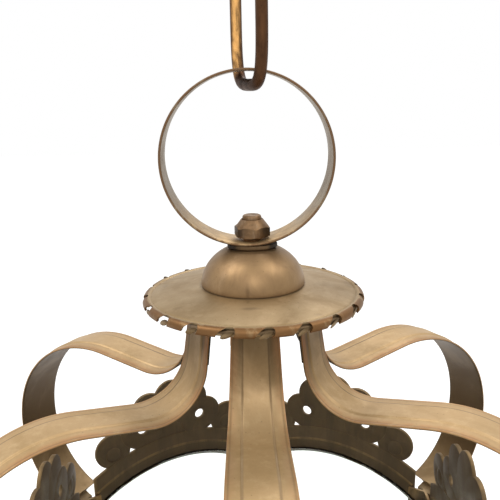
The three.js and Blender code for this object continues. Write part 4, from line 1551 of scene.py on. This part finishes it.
@dataclass
class StrapArm(SubAssembly):
    """The S-bent arm: a strap with a raised middle, grooves beside it and eased lips."""

    top_radius: float = 33
    top_height: float = -6
    top_heading: float = -82
    straight: float = 24
    valley_radius: float = 27
    valley_rise: float = 9
    crest: float = 31.4
    shoulder_radius: float = 67.5
    shoulder_end: float = -110
    foot_radius: float = 55
    foot_heading: float = -156
    top_width: float = 23.6
    valley_width: float = 29.5
    foot_width: float = 30
    widest: float = 0.21  # share of its length at which it has valley_width
    groove: float = 0.52  # place of the grooves, as a share of the half width
    facing_groove_shade: float = 0.3  # how dark the painted shade in the grooves is on the arm that faces the viewer
    # Half of the section: share of the half width, and mm proud of the strap's middle
    section: tuple[Point, ...] = (
        (0.0, 1.04), (0.25, 1.08), (0.44, 1.14), (0.485, 1.1), (0.51, 0.8), (0.53, 0.48), (0.555, 0.36),
        (0.59, 0.42), (0.7, 0.34), (0.82, 0.2), (0.89, 0.02), (0.92, 0.0), (0.945, 0.12), (0.975, 0.18),
        (0.995, 0.05), (1.0, -0.15), (1.0, -0.8), (0.975, -1.02), (0.9, -1.1), (0.4, -1.1),
    )
    # Out, height, heading and width at each step, kept for the marks
    track: list[tuple[float, float, float, float]] = field(default_factory=list)

    def width(self, share: float) -> float:
        """The strap's width at a place along it.

        Args:
            share: the place, as a share of the strap's length.

        Returns:
            The width.
        """
        if share < self.widest:
            return self.top_width + (self.valley_width - self.top_width) * share / self.widest
        rest = (share - self.widest) / (1 - self.widest)
        return self.valley_width + (self.foot_width - self.valley_width) * rest

    def stretches(self) -> list[tuple[float, float, int]]:
        """The strap's stretches, from its upper end.

        Returns:
            Length, turn in degrees and number of steps of each.
        """
        valley = self.valley_rise - self.top_heading
        shoulder = self.shoulder_end - self.valley_rise
        foot = self.foot_heading - self.shoulder_end
        return [
            (self.straight, 0, 12),
            (self.valley_radius * math.radians(valley), valley, 34),
            (self.crest, 0, 16),
            (self.shoulder_radius * -math.radians(shoulder), shoulder, 60),
            (self.foot_radius * -math.radians(foot), foot, 20),
        ]

    def build(self) -> None:
        """Draws the section, sweeps it through the bends and copies it round."""
        first = self.sweep()
        shares = self.dress(first)
        for number, turn, item in six_copies(first, "strap_arm"):
            self.paint_groove_shade_and_lips(item, shares, math.sin(turn))
            self.finish_piece(item, Coat.STRAP, f"arm_{number}")

    def paint_groove_shade_and_lips(self, item: bpy.types.Object, shares: list[float], lean: float) -> None:
        """Paints shade into the groove on the side turned away from the front, and browns the lip on the
        other.

        Args:
            item: one arm.
            shares: place of each point across the strap, from -1 to 1, or 0 on the back.
            lean: more than nothing where the arm's right side looks to the back.
        """
        layers = zip(layer(item, "grime_and_painted_shade").data, layer(item, "wear").data)
        for (grime_and_painted_shade, wear), share in zip(layers, shares):
            away = self.facing_groove_shade if abs(lean) < 0.1 else fade(share * lean, 0.05, -0.05)
            # painted shade in the groove on the far side; the lip on the near side is browned
            groove = 0.85 * fade(abs(abs(share) - self.groove), 0.035, 0.06) * (0.12 + 0.88 * away)
            grime_and_painted_shade.value = max(grime_and_painted_shade.value, groove)
            wear.value = max(wear.value, 0.6 * (1 - away) * fade(abs(share), 0.84, 0.7))

    def sweep(self) -> bpy.types.Object:
        """Extrudes the section step by step through the bends.

        Returns:
            The front arm.
        """
        outline = [*self.section, *((-x, y) for x, y in reversed(self.section) if x > 0)]
        half, width = self.top_width / 2, self.top_width
        heading = math.radians(self.top_heading)
        deselect()
        bpy.ops.mesh.primitive_circle_add(vertices=len(outline), radius=half * MM, fill_type="NGON")
        item = take("arm_pattern")
        out, height = self.top_radius, self.top_height
        for vert, (share, proud) in zip(item.data.vertices, outline):
            vert.co = in_frame(
                share * half, -(out - proud * math.sin(heading)), height + proud * math.cos(heading))
        total = sum(length for length, _, _ in self.stretches())
        travelled = 0.0
        self.track = [(out, height, heading, width)]
        with editing(item):
            for length, bend, steps in self.stretches():
                for _ in range(steps):
                    step = length / steps
                    turn = math.radians(bend) / steps
                    chord = step if not turn else 2 * (step / turn) * math.sin(turn / 2)
                    middle = heading + turn / 2
                    move = Vector((0, -chord * math.cos(middle), chord * math.sin(middle))) * MM
                    bpy.ops.mesh.extrude_region_move(TRANSFORM_OT_translate={"value": move})
                    out += chord * math.cos(middle)
                    height += chord * math.sin(middle)
                    heading += turn
                    centre = in_frame(0, -out, height)
                    if turn:
                        bpy.ops.transform.rotate(value=turn, orient_axis="X", center_override=centre)
                    travelled += step
                    now = self.width(travelled / total)
                    bpy.ops.transform.resize(value=(now / width, 1, 1), center_override=centre)
                    width = now
                    self.track.append((out, height, heading, width))
        tidy_normals(item)
        return item

    def dress(self, item: bpy.types.Object) -> list[float]:
        """Paints the worn lips, the dirt along them, the back browned by the candles and darkened by painted
        shade, and painted shade on the front's upper part.

        Args:
            item: the front arm.

        Returns:
            The place of each point across the strap, from -1 to 1, or 0 on the back.
        """
        values = {name: [] for name in LAYERS}
        places = []
        for vert in item.data.vertices:
            out, height = -vert.co.y / MM, vert.co.z / MM - RIM_PLANE
            near = min(self.track, key=lambda spot: (spot[0] - out) ** 2 + (spot[1] - height) ** 2)
            near_out, near_height, heading, width = near
            proud = (near_out - out) * math.sin(heading) + (height - near_height) * math.cos(heading)
            share = vert.co.x / MM / (width / 2)
            side = abs(share)
            back = fade(proud, -0.85, -0.3)
            front = 1 - back
            places.append(share * (front > 0.5))
            values["wear"].append(front * (0.3 * fade(side, 0.72, 0.62) + 0.4 * fade(side, 0.97, 0.93)))
            lip_dirt = front * 0.4 * fade(abs(side - 0.905), 0.01, 0.035)
            values["grime_and_painted_shade"].append(lip_dirt + 0.5 * back * fade(side, 0.99, 0.9))
            # the back: candle browning and painted shade, strongest towards the foot
            back_browning_and_shade = back * (0.35 + 0.65 * fade(height, -130, -172))
            # painted shade on the front of the steep upper part, under the disc
            shade = front * fade(height, -18, -62) * fade(out, 40, 56) * (0.6 + 0.2 * fade(side, 0.6, 0.5))
            values["soot_and_painted_light"].append(max(back_browning_and_shade, shade))
        for name, shares in values.items():
            layer(item, name).data.foreach_set("value", shares)
        return places


@dataclass
class SideAssembly(SubAssembly):
    """Pieces made in front of one flat side and copied to the others."""

    corner: float = 140  # from the centre line to the body's corners, in mm
    arch_radius: float = 100  # of the arches' lower edge
    arch_peak: float = -164
    base_top: float = -508

    @property
    def face(self) -> float:
        """How far the sides' outer faces are from the centre line."""
        return self.corner * math.cos(SIXTH / 2)

    @property
    def arch_centre(self) -> float:
        """Height of the arches' centre."""
        return self.arch_peak - self.arch_radius

    def arch(self, radius: float, half: float, steps: int = 48) -> list[Point]:
        """Points of an arch from its right end to its left end.

        Args:
            radius: from the arches' centre.
            half: how far from the middle it ends.
            steps: how many pieces.

        Returns:
            The points.
        """
        start = math.degrees(math.acos(half / radius))
        return arc((0, self.arch_centre), radius, start, 180 - start, steps)


@dataclass
class ArchedRails(SideAssembly):
    """Cast rails: an arched band with a bead, a palmette and two scrolls, pierced."""

    band: float = 20
    sheet: float = 2.4
    end: float = 61.5  # half its length
    rim: float = 1.3
    hollow: float = 0.6
    bead: float = 2.2
    bead_end: float = 1.6
    fine_bead: Point = (6.2, 0.9)  # distance from that bead and radius of the one on either side of it
    root: float = 19
    root_rise: float = 4
    root_sheet: float = 3.0
    rosette: Triple = (6.5, 2.4, 6.5)
    rosette_place: Point = (3, 1)  # how far out and how high it sits
    lobes: int = 5
    lobe_spread: float = 34
    palmette: float = 44
    shortening: float = 0.06  # of a leaf, for each radian it leans
    lobe_length: float = 16.5
    lobe_width: float = 13.6
    lobe_sheet: Point = (2.5, 0.25)  # thickness of a leaf, and what every second one has more
    lobe_lift: float = 0.05  # from the back of one leaf to the next one's
    vein: Triple = (1.3, 1.2, 10.5)
    vein_out: float = 2.2
    eye_across: float = 23
    eye_rise: float = 11
    eye_radius: float = 3.6
    scroll_inset: float = 15.5
    scroll_rise: float = 10
    scroll_radius: float = 13
    scroll_sheet: float = 2.7
    scroll_hole: float = 5.5
    scroll_hole_drop: float = 3
    # Where a scroll's raised coil starts, its sweep and its number of steps
    coil: tuple[float, float, int] = (-40, 300, 40)
    coil_radius: Point = (7.2, 0.7)  # of the coil at 0 degrees, and how much it grows for each radian
    coil_wire: Point = (1.1, 0.5)  # radius of the coil where it starts, and how much it loses to its end
    coil_out: float = 2.4
    stopper: Triple = (5.9, 1.7, 5.9)  # half sizes of the rosette in a scroll's eye
    stopper_out: float = 1.2

    @property
    def back(self) -> float:
        """How far the castings' backs are from the centre line."""
        return self.face + GAP

    @property
    def crown(self) -> float:
        """Height of the band's outer edge in the middle."""
        return self.arch_peak + self.band

    def build(self) -> None:
        """Makes one rail and copies it to the six sides."""
        root = oval((0, self.crown + self.root_rise), self.root, self.root)
        out, up = self.rosette_place
        pieces = [self.strip(), *self.beads(), self.panel("root", root, self.root_sheet, lift=0.3)]
        pieces += [*self.palmette_lobes(), *self.scroll(-1), *self.scroll(1)]
        pieces.append(boss("rosette", Vector((0, -self.back - out, self.crown + up)), Vector(self.rosette)))
        for number, turn, item in six_copies(joined("rail_pattern", *pieces), "rail_casting", first=0.5):
            outward = Matrix.Rotation(turn, 3, "Z") @ Vector((0, -1, 0))
            self.finish_piece(item, Coat.CASTING, f"arched_rail_{number}", wear=0.8,
                              marks={"soot_and_painted_light": facing(outward, -0.5, 0.3)})

    def panel(self, name: str, outline: list[Point], thick: float, *eyes: tuple[Point, float],
              lift: float = 0.0) -> bpy.types.Object:
        """A leaf with a raised rim, drilled where it has eyes.

        Args:
            name: the piece's name.
            outline: its outline.
            thick: its thickness.
            eyes: the centre and radius of each hole.
            lift: how far its back stands off the others, so that no two backs lie in one plane.

        Returns:
            The object.
        """
        item = plate(name, outline, self.back + lift, thick - lift)
        for centre, radius in eyes:
            drill(item, centre, radius)
        front = -(self.back + thick - 0.05) * MM
        with editing(item, "DESELECT"):
            pick_faces(item, lambda middle: middle.y < front)
            bpy.ops.mesh.inset(thickness=self.rim * MM, depth=-self.hollow * MM)
        return rounded(item, 0.4)

    def strip(self) -> bpy.types.Object:
        """The arched band.

        Returns:
            The object.
        """
        outer, inner = self.arch_radius + self.band, self.arch_radius
        outline = [*self.arch(outer, self.end), *reversed(self.arch(inner, self.end))]
        return self.panel("band", outline, self.sheet)

    def beads(self) -> list[bpy.types.Object]:
        """The half-round bead along the band, with a fine one on either side.

        Returns:
            The objects.
        """
        aside, fine = self.fine_bead
        depth = self.back + self.sheet - 0.5
        items = []
        for shift, radius in ((0, self.bead), (-aside, fine), (aside, fine)):
            spots = self.arch(self.arch_radius + self.band / 2 + shift, self.end - self.bead_end)
            items.append(rod_along("bead", [Vector((x, -depth, z)) for x, z in spots], radius, sides=3))
        return items

    def palmette_lobes(self) -> list[bpy.types.Object]:
        """The five leaves, with a vein in the middle ones and an eye beside them.

        Returns:
            The objects.
        """
        eyes = {
            side: ((side * self.eye_across, self.crown + self.eye_rise), self.eye_radius)
            for side in (-1, 1)
        }
        thick, more = self.lobe_sheet
        items = []
        for i in range(self.lobes):
            turn = math.radians((i - (self.lobes - 1) / 2) * self.lobe_spread)
            reach = (self.palmette - self.lobe_length) * (1 - self.shortening * abs(turn))
            centre = (reach * math.sin(turn), self.crown + reach * math.cos(turn))
            holes = [eyes[math.copysign(1, turn)]] if turn else []
            outline = oval(centre, self.lobe_width, self.lobe_length, turn)
            items.append(self.panel(
                "leaf", outline, thick + more * (i % 2), *holes, lift=self.lobe_lift * (i + 1)))
            if 0 < i < self.lobes - 1:
                place = Vector((centre[0] * 1.05, -self.back - self.vein_out, centre[1] + 1))
                items.append(boss("vein", place, Vector(self.vein), turn))
        return items

    def scroll(self, side: int) -> list[bpy.types.Object]:
        """A scroll with a raised coil and a rosette that fills its eye.

        Args:
            side: 1 for the right, -1 for the left.

        Returns:
            The objects.
        """
        across = side * (self.end - self.scroll_inset)
        outer = self.arch_radius + self.band
        height = self.arch_centre + math.sqrt(outer ** 2 - across ** 2) + self.scroll_rise
        eye = (across, height - self.scroll_hole_drop)
        disc = self.panel(
            "scroll", oval((across, height), self.scroll_radius, self.scroll_radius), self.scroll_sheet,
            (eye, self.scroll_hole), lift=0.35)
        start, sweep, steps = self.coil
        radius, growth = self.coil_radius
        wire, loss = self.coil_wire
        route = []
        for i in range(steps + 1):
            t = math.radians(start + sweep * i / steps)
            reach = radius + growth * t
            x, z = eye[0] + side * reach * math.cos(t), eye[1] + reach * math.sin(t)
            route.append(Vector((x, -self.back - self.coil_out, z)))
        stopper = boss(
            "scroll_rosette", Vector((eye[0], -self.back - self.stopper_out, eye[1])), Vector(self.stopper))
        coil = rod_along("coil", route, [wire - loss * i / steps for i in range(steps + 1)], sides=3)
        return [disc, stopper, coil]


@dataclass
class CornerPosts(SideAssembly):
    """Folded posts with a turned bead up their edge, and the screws that hold the rails."""

    bead: float = 3.35
    top: float = -173
    bracket: float = 20
    low_collar: float = 9
    high_collar: float = 16
    collar: float = 1.2
    # How far proud and how far from the collar's middle its fillet's points are
    fillet: tuple[Point, ...] = ((0, 2), (0.7, 2.6), (0.7, 3.4), (0, 4))
    screw_across: float = 63.5
    screw_heights: tuple[float, ...] = (-205, -300, -390, -490)

    def build(self) -> None:
        """Makes one post and copies it to the six corners."""
        post = joined("post_pattern", eased("corner_post_1", 0.35), self.edge_bead(), *self.screws())
        for number, turn, item in six_copies(post, "post_shell"):
            inward = Matrix.Rotation(turn, 3, "Z") @ Vector((0, 1, 0))
            self.finish_piece(item, Coat.SHEET, f"corner_post_{number}", wear=0.9,
                              marks={"soot_and_painted_light": facing(inward, 0.6, 0.2, strength=0.8)})

    def edge_bead(self) -> bpy.types.Object:
        """The bead, with collars at its ends and middle.

        Returns:
            The object.
        """
        low, high, r = self.base_top + GAP, self.top - self.bracket / 2, self.bead
        over = [(r + proud, rise) for proud, rise in self.fillet]
        under = [(out, -rise) for out, rise in reversed(over)]
        profile = [(r, low)]
        for height in (low + self.low_collar, (low + high) / 2, high - self.high_collar):
            profile += from_level(height, [*under, *arc((r, 0), self.collar, -80, 80, 6), *over])
        item = turned("edge_bead", [*profile, (r, high - 0.4), (r - 0.4, high)], faces=32)
        item.data.transform(Matrix.Translation(Vector((0, -self.corner, 0)) * MM))
        return item

    def screws(self) -> list[bpy.types.Object]:
        """Screw heads on both flanges of the front post.

        Returns:
            The objects.
        """
        draws = random.Random(5)
        items = []
        for side in (-1, 1):
            for height in self.screw_heights:
                head = screw_head("screw", -side * self.screw_across, height, self.face, draws.uniform(0, 3))
                head.data.transform(Matrix.Rotation(side * SIXTH / 2, 4, "Z"))
                items.append(head)
        return items


@dataclass
class Door(SideAssembly):
    """The hinged door's frame with its glazing bead, on the side right of the front arm."""

    half: float = 57.3  # half the door's width, in mm
    bar: float = 9
    gap: float = 0.7
    proud: float = 0.5
    bead: float = 1.0
    bead_bite: float = 0.05  # how far the bead reaches into the bars
    bead_sunk: float = 0.3  # how far it lies behind the frame's face
    body = "door"

    def build(self) -> None:
        """Eases the frame and runs a bead round its glass."""
        inset = self.bead - self.bead_bite
        half = self.half - self.bar - inset
        low = self.base_top + self.gap + self.bar + inset
        top = self.arch(self.arch_radius - 2 * self.gap - self.bar - inset, half, 40)
        depth = self.face + self.proud - self.bead - self.bead_sunk
        route = [Vector((x, -depth, z)) for x, z in ((-half, low), (half, low), *top)]
        bead = rod_along("moulding", route, self.bead, closed=True, sides=3)
        bead.data.transform(Matrix.Rotation(SIXTH / 2, 4, "Z"))
        item = joined("door_moulding", eased("door_frame", 0.4), bead)
        self.finish_piece(item, Coat.SHEET, "door_frame", wear=0.9)


@dataclass
class DoorFittings(SideAssembly):
    """Hinges and the rivet of the turn button, which stay on the lantern."""

    across: float = 60.6
    pin_out: float = 2.6
    pin_half: float = 16.2
    ball: Triple = (2.1, 2.1, 2.4)
    # CAD node and height of each hinge
    hinges: tuple[tuple[str, float], ...] = (("upper_hinge", -241), ("lower_hinge", -440))

    def build(self) -> None:
        """Eases the hinges and puts ball ends on their pins."""
        out = self.face + GAP + self.pin_out
        for node, height in self.hinges:
            balls = []
            for end in (-self.pin_half, self.pin_half):
                ball = boss("pin_ball", Vector((self.across, -out, height + end)), Vector(self.ball))
                ball.data.transform(Matrix.Rotation(SIXTH / 2, 4, "Z"))
                balls.append(ball)
            self.finish_piece(joined(f"{node}_leaf", eased(node, 0.25), *balls), Coat.SHEET, node)
        self.finish_piece(eased("button_rivet", 0.3), Coat.SHEET, "button_rivet")


@dataclass
class TurnButton(SubAssembly):
    """The button that holds the door shut."""

    body = "button"

    def build(self) -> None:
        """Eases the button's plate."""
        self.finish_piece(eased("turn_button", 0.4, 3), Coat.SHEET, "turn_button", wear=1.3)


@dataclass
class Base(SubAssembly):
    """Base frame, pan, drop finial and its nut."""

    sooty: Point = (112, 122)  # radii where the pan's brown inside is full and where it ends
    shank: float = 4
    drop: float = 46  # from the finial's shoulder to its tip
    # Points under the shoulder, below its top
    shoulder: tuple[Point, ...] = ((8.6, -3.2), (6.6, -4.7), (5.4, -6.6), (5, -9))
    knop_radius: float = 11
    knop_drop: float = 21
    knop_belly: float = 62  # how far its round reaches up and down, in degrees
    # Points below the knop, below the shoulder's top
    tip: tuple[Point, ...] = (
        (4.2, -31.6), (3.6, -33), (3.9, -34.2), (4.6, -35.5), (4.3, -37.2), (3.3, -39), (2.6, -42),
        (2.0, -44.6), (0.9, -45.8),
    )

    def build(self) -> None:
        """Eases the two sheet pieces and turns the finial."""
        marks = {"soot_and_painted_light": self.smoked}
        self.finish_piece(eased("base_frame", 0.7, 3), Coat.SHEET, "base_frame", wear=0.8, marks=marks)
        self.finish_piece(eased("base_pan", 0.5), Coat.SHEET, "base_pan", wear=0.8, marks=marks)
        self.finish_piece(eased("finial_nut", 0.35), Coat.STEEL, "finial_nut")
        self.finial()

    def smoked(self, place: Vector, normal: Vector) -> float:
        """How browned a place is that looks up into the body."""
        return 0.7 * fade(normal.z, 0.8, 0.4) * fade(out_from_middle(place), *self.sooty)

    def finial(self) -> None:
        """A turned drop with a round knop."""
        low, high = heights("drop_finial")
        belly = arc((0, -self.knop_drop), self.knop_radius, self.knop_belly, -self.knop_belly, 26)
        drop = [
            (self.shank, 0), *arc((11.2, -0.8), 0.8, 90, 0, 4), *arc((11.0, -1.6), 1.0, 0, -80, 4),
            *self.shoulder, *belly, *self.tip,
        ]
        item = turned("finial_drop", [
            (self.shank - 0.6, high), (self.shank, high - 0.6), *from_level(low + self.drop, drop),
            (0.3, low),
        ], faces=56)
        self.finish_piece(item, Coat.STRAP, "drop_finial", wear=0.7)


@dataclass
class CandleCluster(SubAssembly):
    """Stem, hub and three candles on curved arms."""

    candles: int = 3
    circle: float = 51.8  # from the centre line to their middle lines, in mm
    height: float = -415  # of the hub's middle
    stud: float = 5
    sleeve: float = 8
    sleeve_bore: float = 9
    rod: float = 4
    hub_radius: float = 13
    hub_belly: float = 42
    arm: float = 3
    dip: float = 14
    rise: float = 12
    drip_radius: float = 20
    drip_sheet: float = 1.2
    flutes: int = 16
    flute: float = 0.045  # their depth, as a share of the radius
    cup_wall: float = 1.4
    cup_height: float = 24
    cup_floor: float = 3
    candle: float = 10
    length: float = 95
    runs: int = 6
    wick: Point = (0.95, 0.35)  # radius of a wick at its foot, and its loss to the tip
    wick_length: float = 8.4
    wick_sunk: float = 1.5

    def build(self) -> None:
        """Builds the stem, the hub and one candle's pieces for each turn."""
        self.stem()
        self.hub()
        pan = self.height + self.rise + GAP
        cup = pan + self.drip_sheet + GAP
        foot = cup + self.cup_floor
        for i in range(self.candles):
            self.place(self.branch(), i, 0, Coat.SHEET, "candle_arm")
            self.place(self.drip_pan(pan), i, self.circle, Coat.SHEET, "drip_pan")
            self.place(self.cup(cup), i, self.circle, Coat.SHEET, "candle_cup")
            self.place(self.stick(foot, i), i, self.circle, Coat.WAX, "candle")
            self.place(self.wick_on(foot + self.length, i), i, self.circle, Coat.COTTON, "wick")

    def place(self, item: bpy.types.Object, i: int, out: float, coat: Coat, node: str) -> None:
        """Moves a piece to its candle's place and dresses it.

        Args:
            item: the piece, in front of the centre line or on it.
            i: which candle.
            out: how far forward it is moved before it is turned round.
            coat: its finish.
            node: name of the CAD nodes, without the number.
        """
        turn = (i + 0.5) / self.candles * 2 * math.pi
        forward = Matrix.Translation(Vector((0, -out * MM, 0)))
        item.data.transform(Matrix.Rotation(turn, 4, "Z") @ forward)
        item.name = f"{node}_form_{i + 1}"
        self.finish_piece(item, coat, f"{node}_{i + 1}", wear=0.9)

    def stem(self) -> None:
        """The coupling below the stud, and the rod."""
        low, high = heights("stem_coupling")
        r, bore, upper, lower = self.sleeve, self.sleeve_bore, self.stud + GAP, self.rod + GAP
        groove = [(r, 1), (r - 0.6, 0.4), (r - 0.6, -0.4), (r, -1)]
        item = turned("coupling_sleeve", [
            (upper, high - bore), (upper, high), *arc((r - 1, high - 1), 1, 90, 0, 4),
            *from_level(high - 7, groove), *from_level(low + 7, groove),
            *arc((r - 1, low + 1), 1, 0, -90, 4), (lower, low), (lower, low + bore), (1, low + bore),
        ], faces=40)
        self.finish_piece(item, Coat.SHEET, "stem_coupling")
        low, high = heights("stem_rod")
        thin = self.rod - 0.4
        item = turned("rod_bar", [
            (thin, low), (self.rod, low + 0.4), (self.rod, high - 0.4), (thin, high),
        ], faces=32)
        self.finish_piece(item, Coat.SHEET, "stem_rod")

    def hub(self) -> None:
        """A turned hub with a belly between two necks."""
        low, top = heights("cluster_hub")
        bore, middle = self.rod + GAP, self.height
        item = turned("hub_turning", [
            (0.4, middle - GAP), (bore, middle - GAP), (bore, top),
            *from_level(top, [
                *arc((7, -1), 1, 90, 10, 3), *arc((7.4, -3), 1, 60, -60, 5), (6.9, -5), (6.6, -6.4),
            ]),
            *arc((0, middle), self.hub_radius, self.hub_belly, -self.hub_belly, 20),
            *from_level(low, [
                (6.6, 8), (6, 6), *arc((6.4, 3.6), 1.2, 60, -60, 5), (5, 1.4), (3, 0.4), (0.4, 0),
            ]),
        ], faces=48)
        self.finish_piece(item, Coat.SHEET, "cluster_hub", wear=0.8)

    def branch(self) -> bpy.types.Object:
        """A candle arm, with a collar at each end.

        Returns:
            The object.
        """
        start = self.hub_radius + GAP
        knots = [
            (start, 0.0), (start + 5, 0.0), ((start + self.circle) / 2, -self.dip * 0.75),
            (self.circle - 6, -self.dip), (self.circle, -4.0), (self.circle, self.rise),
        ]
        steps = 10
        route = []
        for i in range(len(knots) - 1):
            before, a, b, after = (
                Vector(knots[min(max(k, 0), len(knots) - 1)]) for k in range(i - 1, i + 3))
            for step in range(steps):
                t = step / steps
                route.append(0.5 * (
                    2 * a + (b - before) * t + (2 * before - 5 * a + 4 * b - after) * t * t
                    + (3 * a - before - 3 * b + after) * t ** 3))
        route.append(Vector(knots[-1]))
        last = len(route) - 1
        radii = [self.arm * (1 - 0.1 * math.sin(math.pi * i / last)) for i in range(last + 1)]
        for collar in (1, 2, last - 6, last - 7):
            radii[collar] = self.arm + 0.9
        return rod_along("branch", [Vector((0, -x, self.height + z)) for x, z in route], radii)

    def drip_pan(self, base: float) -> bpy.types.Object:
        """A shallow pan with a fluted rim.

        Args:
            base: height of its foot.

        Returns:
            The object.
        """
        r, sheet = self.drip_radius, self.drip_sheet
        item = turned("drip_pan", from_level(base, [
            (0.5, 0), (r * 0.55, 0), (r * 0.75, 0.9), (r - 2, 2.5), (r - 0.6, 4.4),
            *arc((r - 0.6, 5.4), 0.6, -40, 150, 6), (r - 2, 4.2), (r - 3, 3.7),
            (r * 0.7, 1.9), (r * 0.55, sheet), (0.5, sheet),
        ]), faces=96)
        for vert in item.data.vertices:
            depth = self.flute * fade(out_from_middle(vert.co) / MM, r, r * 0.6)
            share = 1 + depth * (math.cos(self.flutes * math.atan2(vert.co.y, vert.co.x)) - 1)
            vert.co.x *= share
            vert.co.y *= share
        return item

    def cup(self, base: float) -> bpy.types.Object:
        """A candle cup with a foot, two beads and a turned-out lip.

        Args:
            base: height of its foot.

        Returns:
            The object.
        """
        bore = self.candle + GAP
        wall, top, floor = bore + self.cup_wall, base + self.cup_height, base + self.cup_floor - GAP
        foot = [
            (0.5, 0), (6, 0), (7.2, 1), (8.6, 3.2), (10.6, 5.4), (wall, 7.4),
            *arc((wall, 9), 0.8, -80, 80, 5), (wall, 10.4),
        ]
        lip = [
            (wall, -6.6), *arc((wall, -5.4), 0.8, -80, 80, 5), (wall, -3.6), (wall + 0.5, -1.4),
            *arc((wall + 0.6, -0.6), 0.6, -30, 120, 5), (bore, 0),
        ]
        profile = [*from_level(base, foot), *from_level(top, lip), (bore, floor), (0.5, floor)]
        return turned("cup", profile, faces=56)

    def stick(self, base: float, i: int) -> bpy.types.Object:
        """A used candle, with a melted hollow at its top and runs of wax.

        Args:
            base: height of its foot.
            i: which candle.

        Returns:
            The object.
        """
        draws = random.Random(31 + i)
        r, top, rings, hollow = self.candle, base + self.length, 60, 2.4
        item = turned("candle", [
            *((r, base + (self.length - hollow) * k / rings) for k in range(rings + 1)),
            *from_level(top, [
                (r - 0.3, -1.2), (r - 1, -0.4), (r - 1.8, -0.4), (r - 2.8, -1.2), (4, -2.2), (0.5, -hollow),
            ]),
        ], faces=72)
        runs = [
            (draws.uniform(0, 6.28), draws.uniform(8, 46), draws.uniform(0.1, 0.2))
            for _ in range(self.runs)
        ]
        for vert in item.data.vertices:
            angle = math.atan2(vert.co.y, vert.co.x)
            out = out_from_middle(vert.co) / MM
            height = vert.co.z / MM - RIM_PLANE
            swell = 0.0
            for side, reach, wide in runs:
                away = (angle - side + math.pi) % (2 * math.pi) - math.pi
                tip = top - reach
                drop = math.exp(-((height - tip) / 2.6) ** 2) * 0.6
                swell += math.exp(-(away / wide) ** 2) * (0.8 * fade(height, tip + 3, tip - 2) + drop)
            if out > 6:
                share = 1 + swell / out * fade(out, 9, 7)
                vert.co.x *= share
                vert.co.y *= share
                if height > top - 3:
                    vert.co.z -= (0.7 + 0.6 * math.sin(angle * 2 + i)) * MM
        return item

    def wick_on(self, base: float, i: int) -> bpy.types.Object:
        """A burnt wick that bends over a little.

        Args:
            base: height of the candle's top.
            i: which candle.

        Returns:
            The object.
        """
        steps = 12
        thick, loss = self.wick
        side, lean = i * 2.1, 1.6 + i * 0.5
        route = []
        for k in range(steps + 1):
            t = k / steps
            over = lean * t * t
            height = base - self.wick_sunk + self.wick_length * t
            route.append(Vector((over * math.cos(side), over * math.sin(side), height)))
        return rod_along("wick", route, [thick - loss * k / steps for k in range(steps + 1)], sides=4)


@dataclass
class PlainPieces(SubAssembly):
    """The CAD nodes, dressed, and the spider plate, whose edges are eased."""

    def build(self) -> None:
        """Dresses every CAD node and eases the spider."""
        plain = {}
        for coat in Coat:
            plain.setdefault(coat.slot, coat)
        for row in frame["record"]["subparts"]:
            node = frame["nodes"][row["node"]]
            node.data.materials.clear()
            node.data.materials.append(self.materials[plain[Slot(row["material_slot"])]])
        self.finish_piece(eased("arm_spider", 0.4), Coat.IRON, "arm_spider", wear=0.7)


PARTS = (PlainPieces, ChainLink, HangingRing, Stem, Canopy, StrapArm, ArchedRails, CornerPosts, Door,
         DoorFittings, TurnButton, Base, CandleCluster)


def main() -> None:
    """Builds the lantern's pieces in order, its camera and its studio."""
    logging.basicConfig(level=logging.INFO, format="%(message)s")
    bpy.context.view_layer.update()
    view = bpy.context.scene.view_settings
    view.view_transform = "Standard"
    SubAssembly.materials = {coat: finish.build() for coat, finish in FINISHES.items()}
    PhotoCamera().build()
    Studio().build()
    for part in PARTS:
        part().build()


if __name__ == "__main__":
    main()
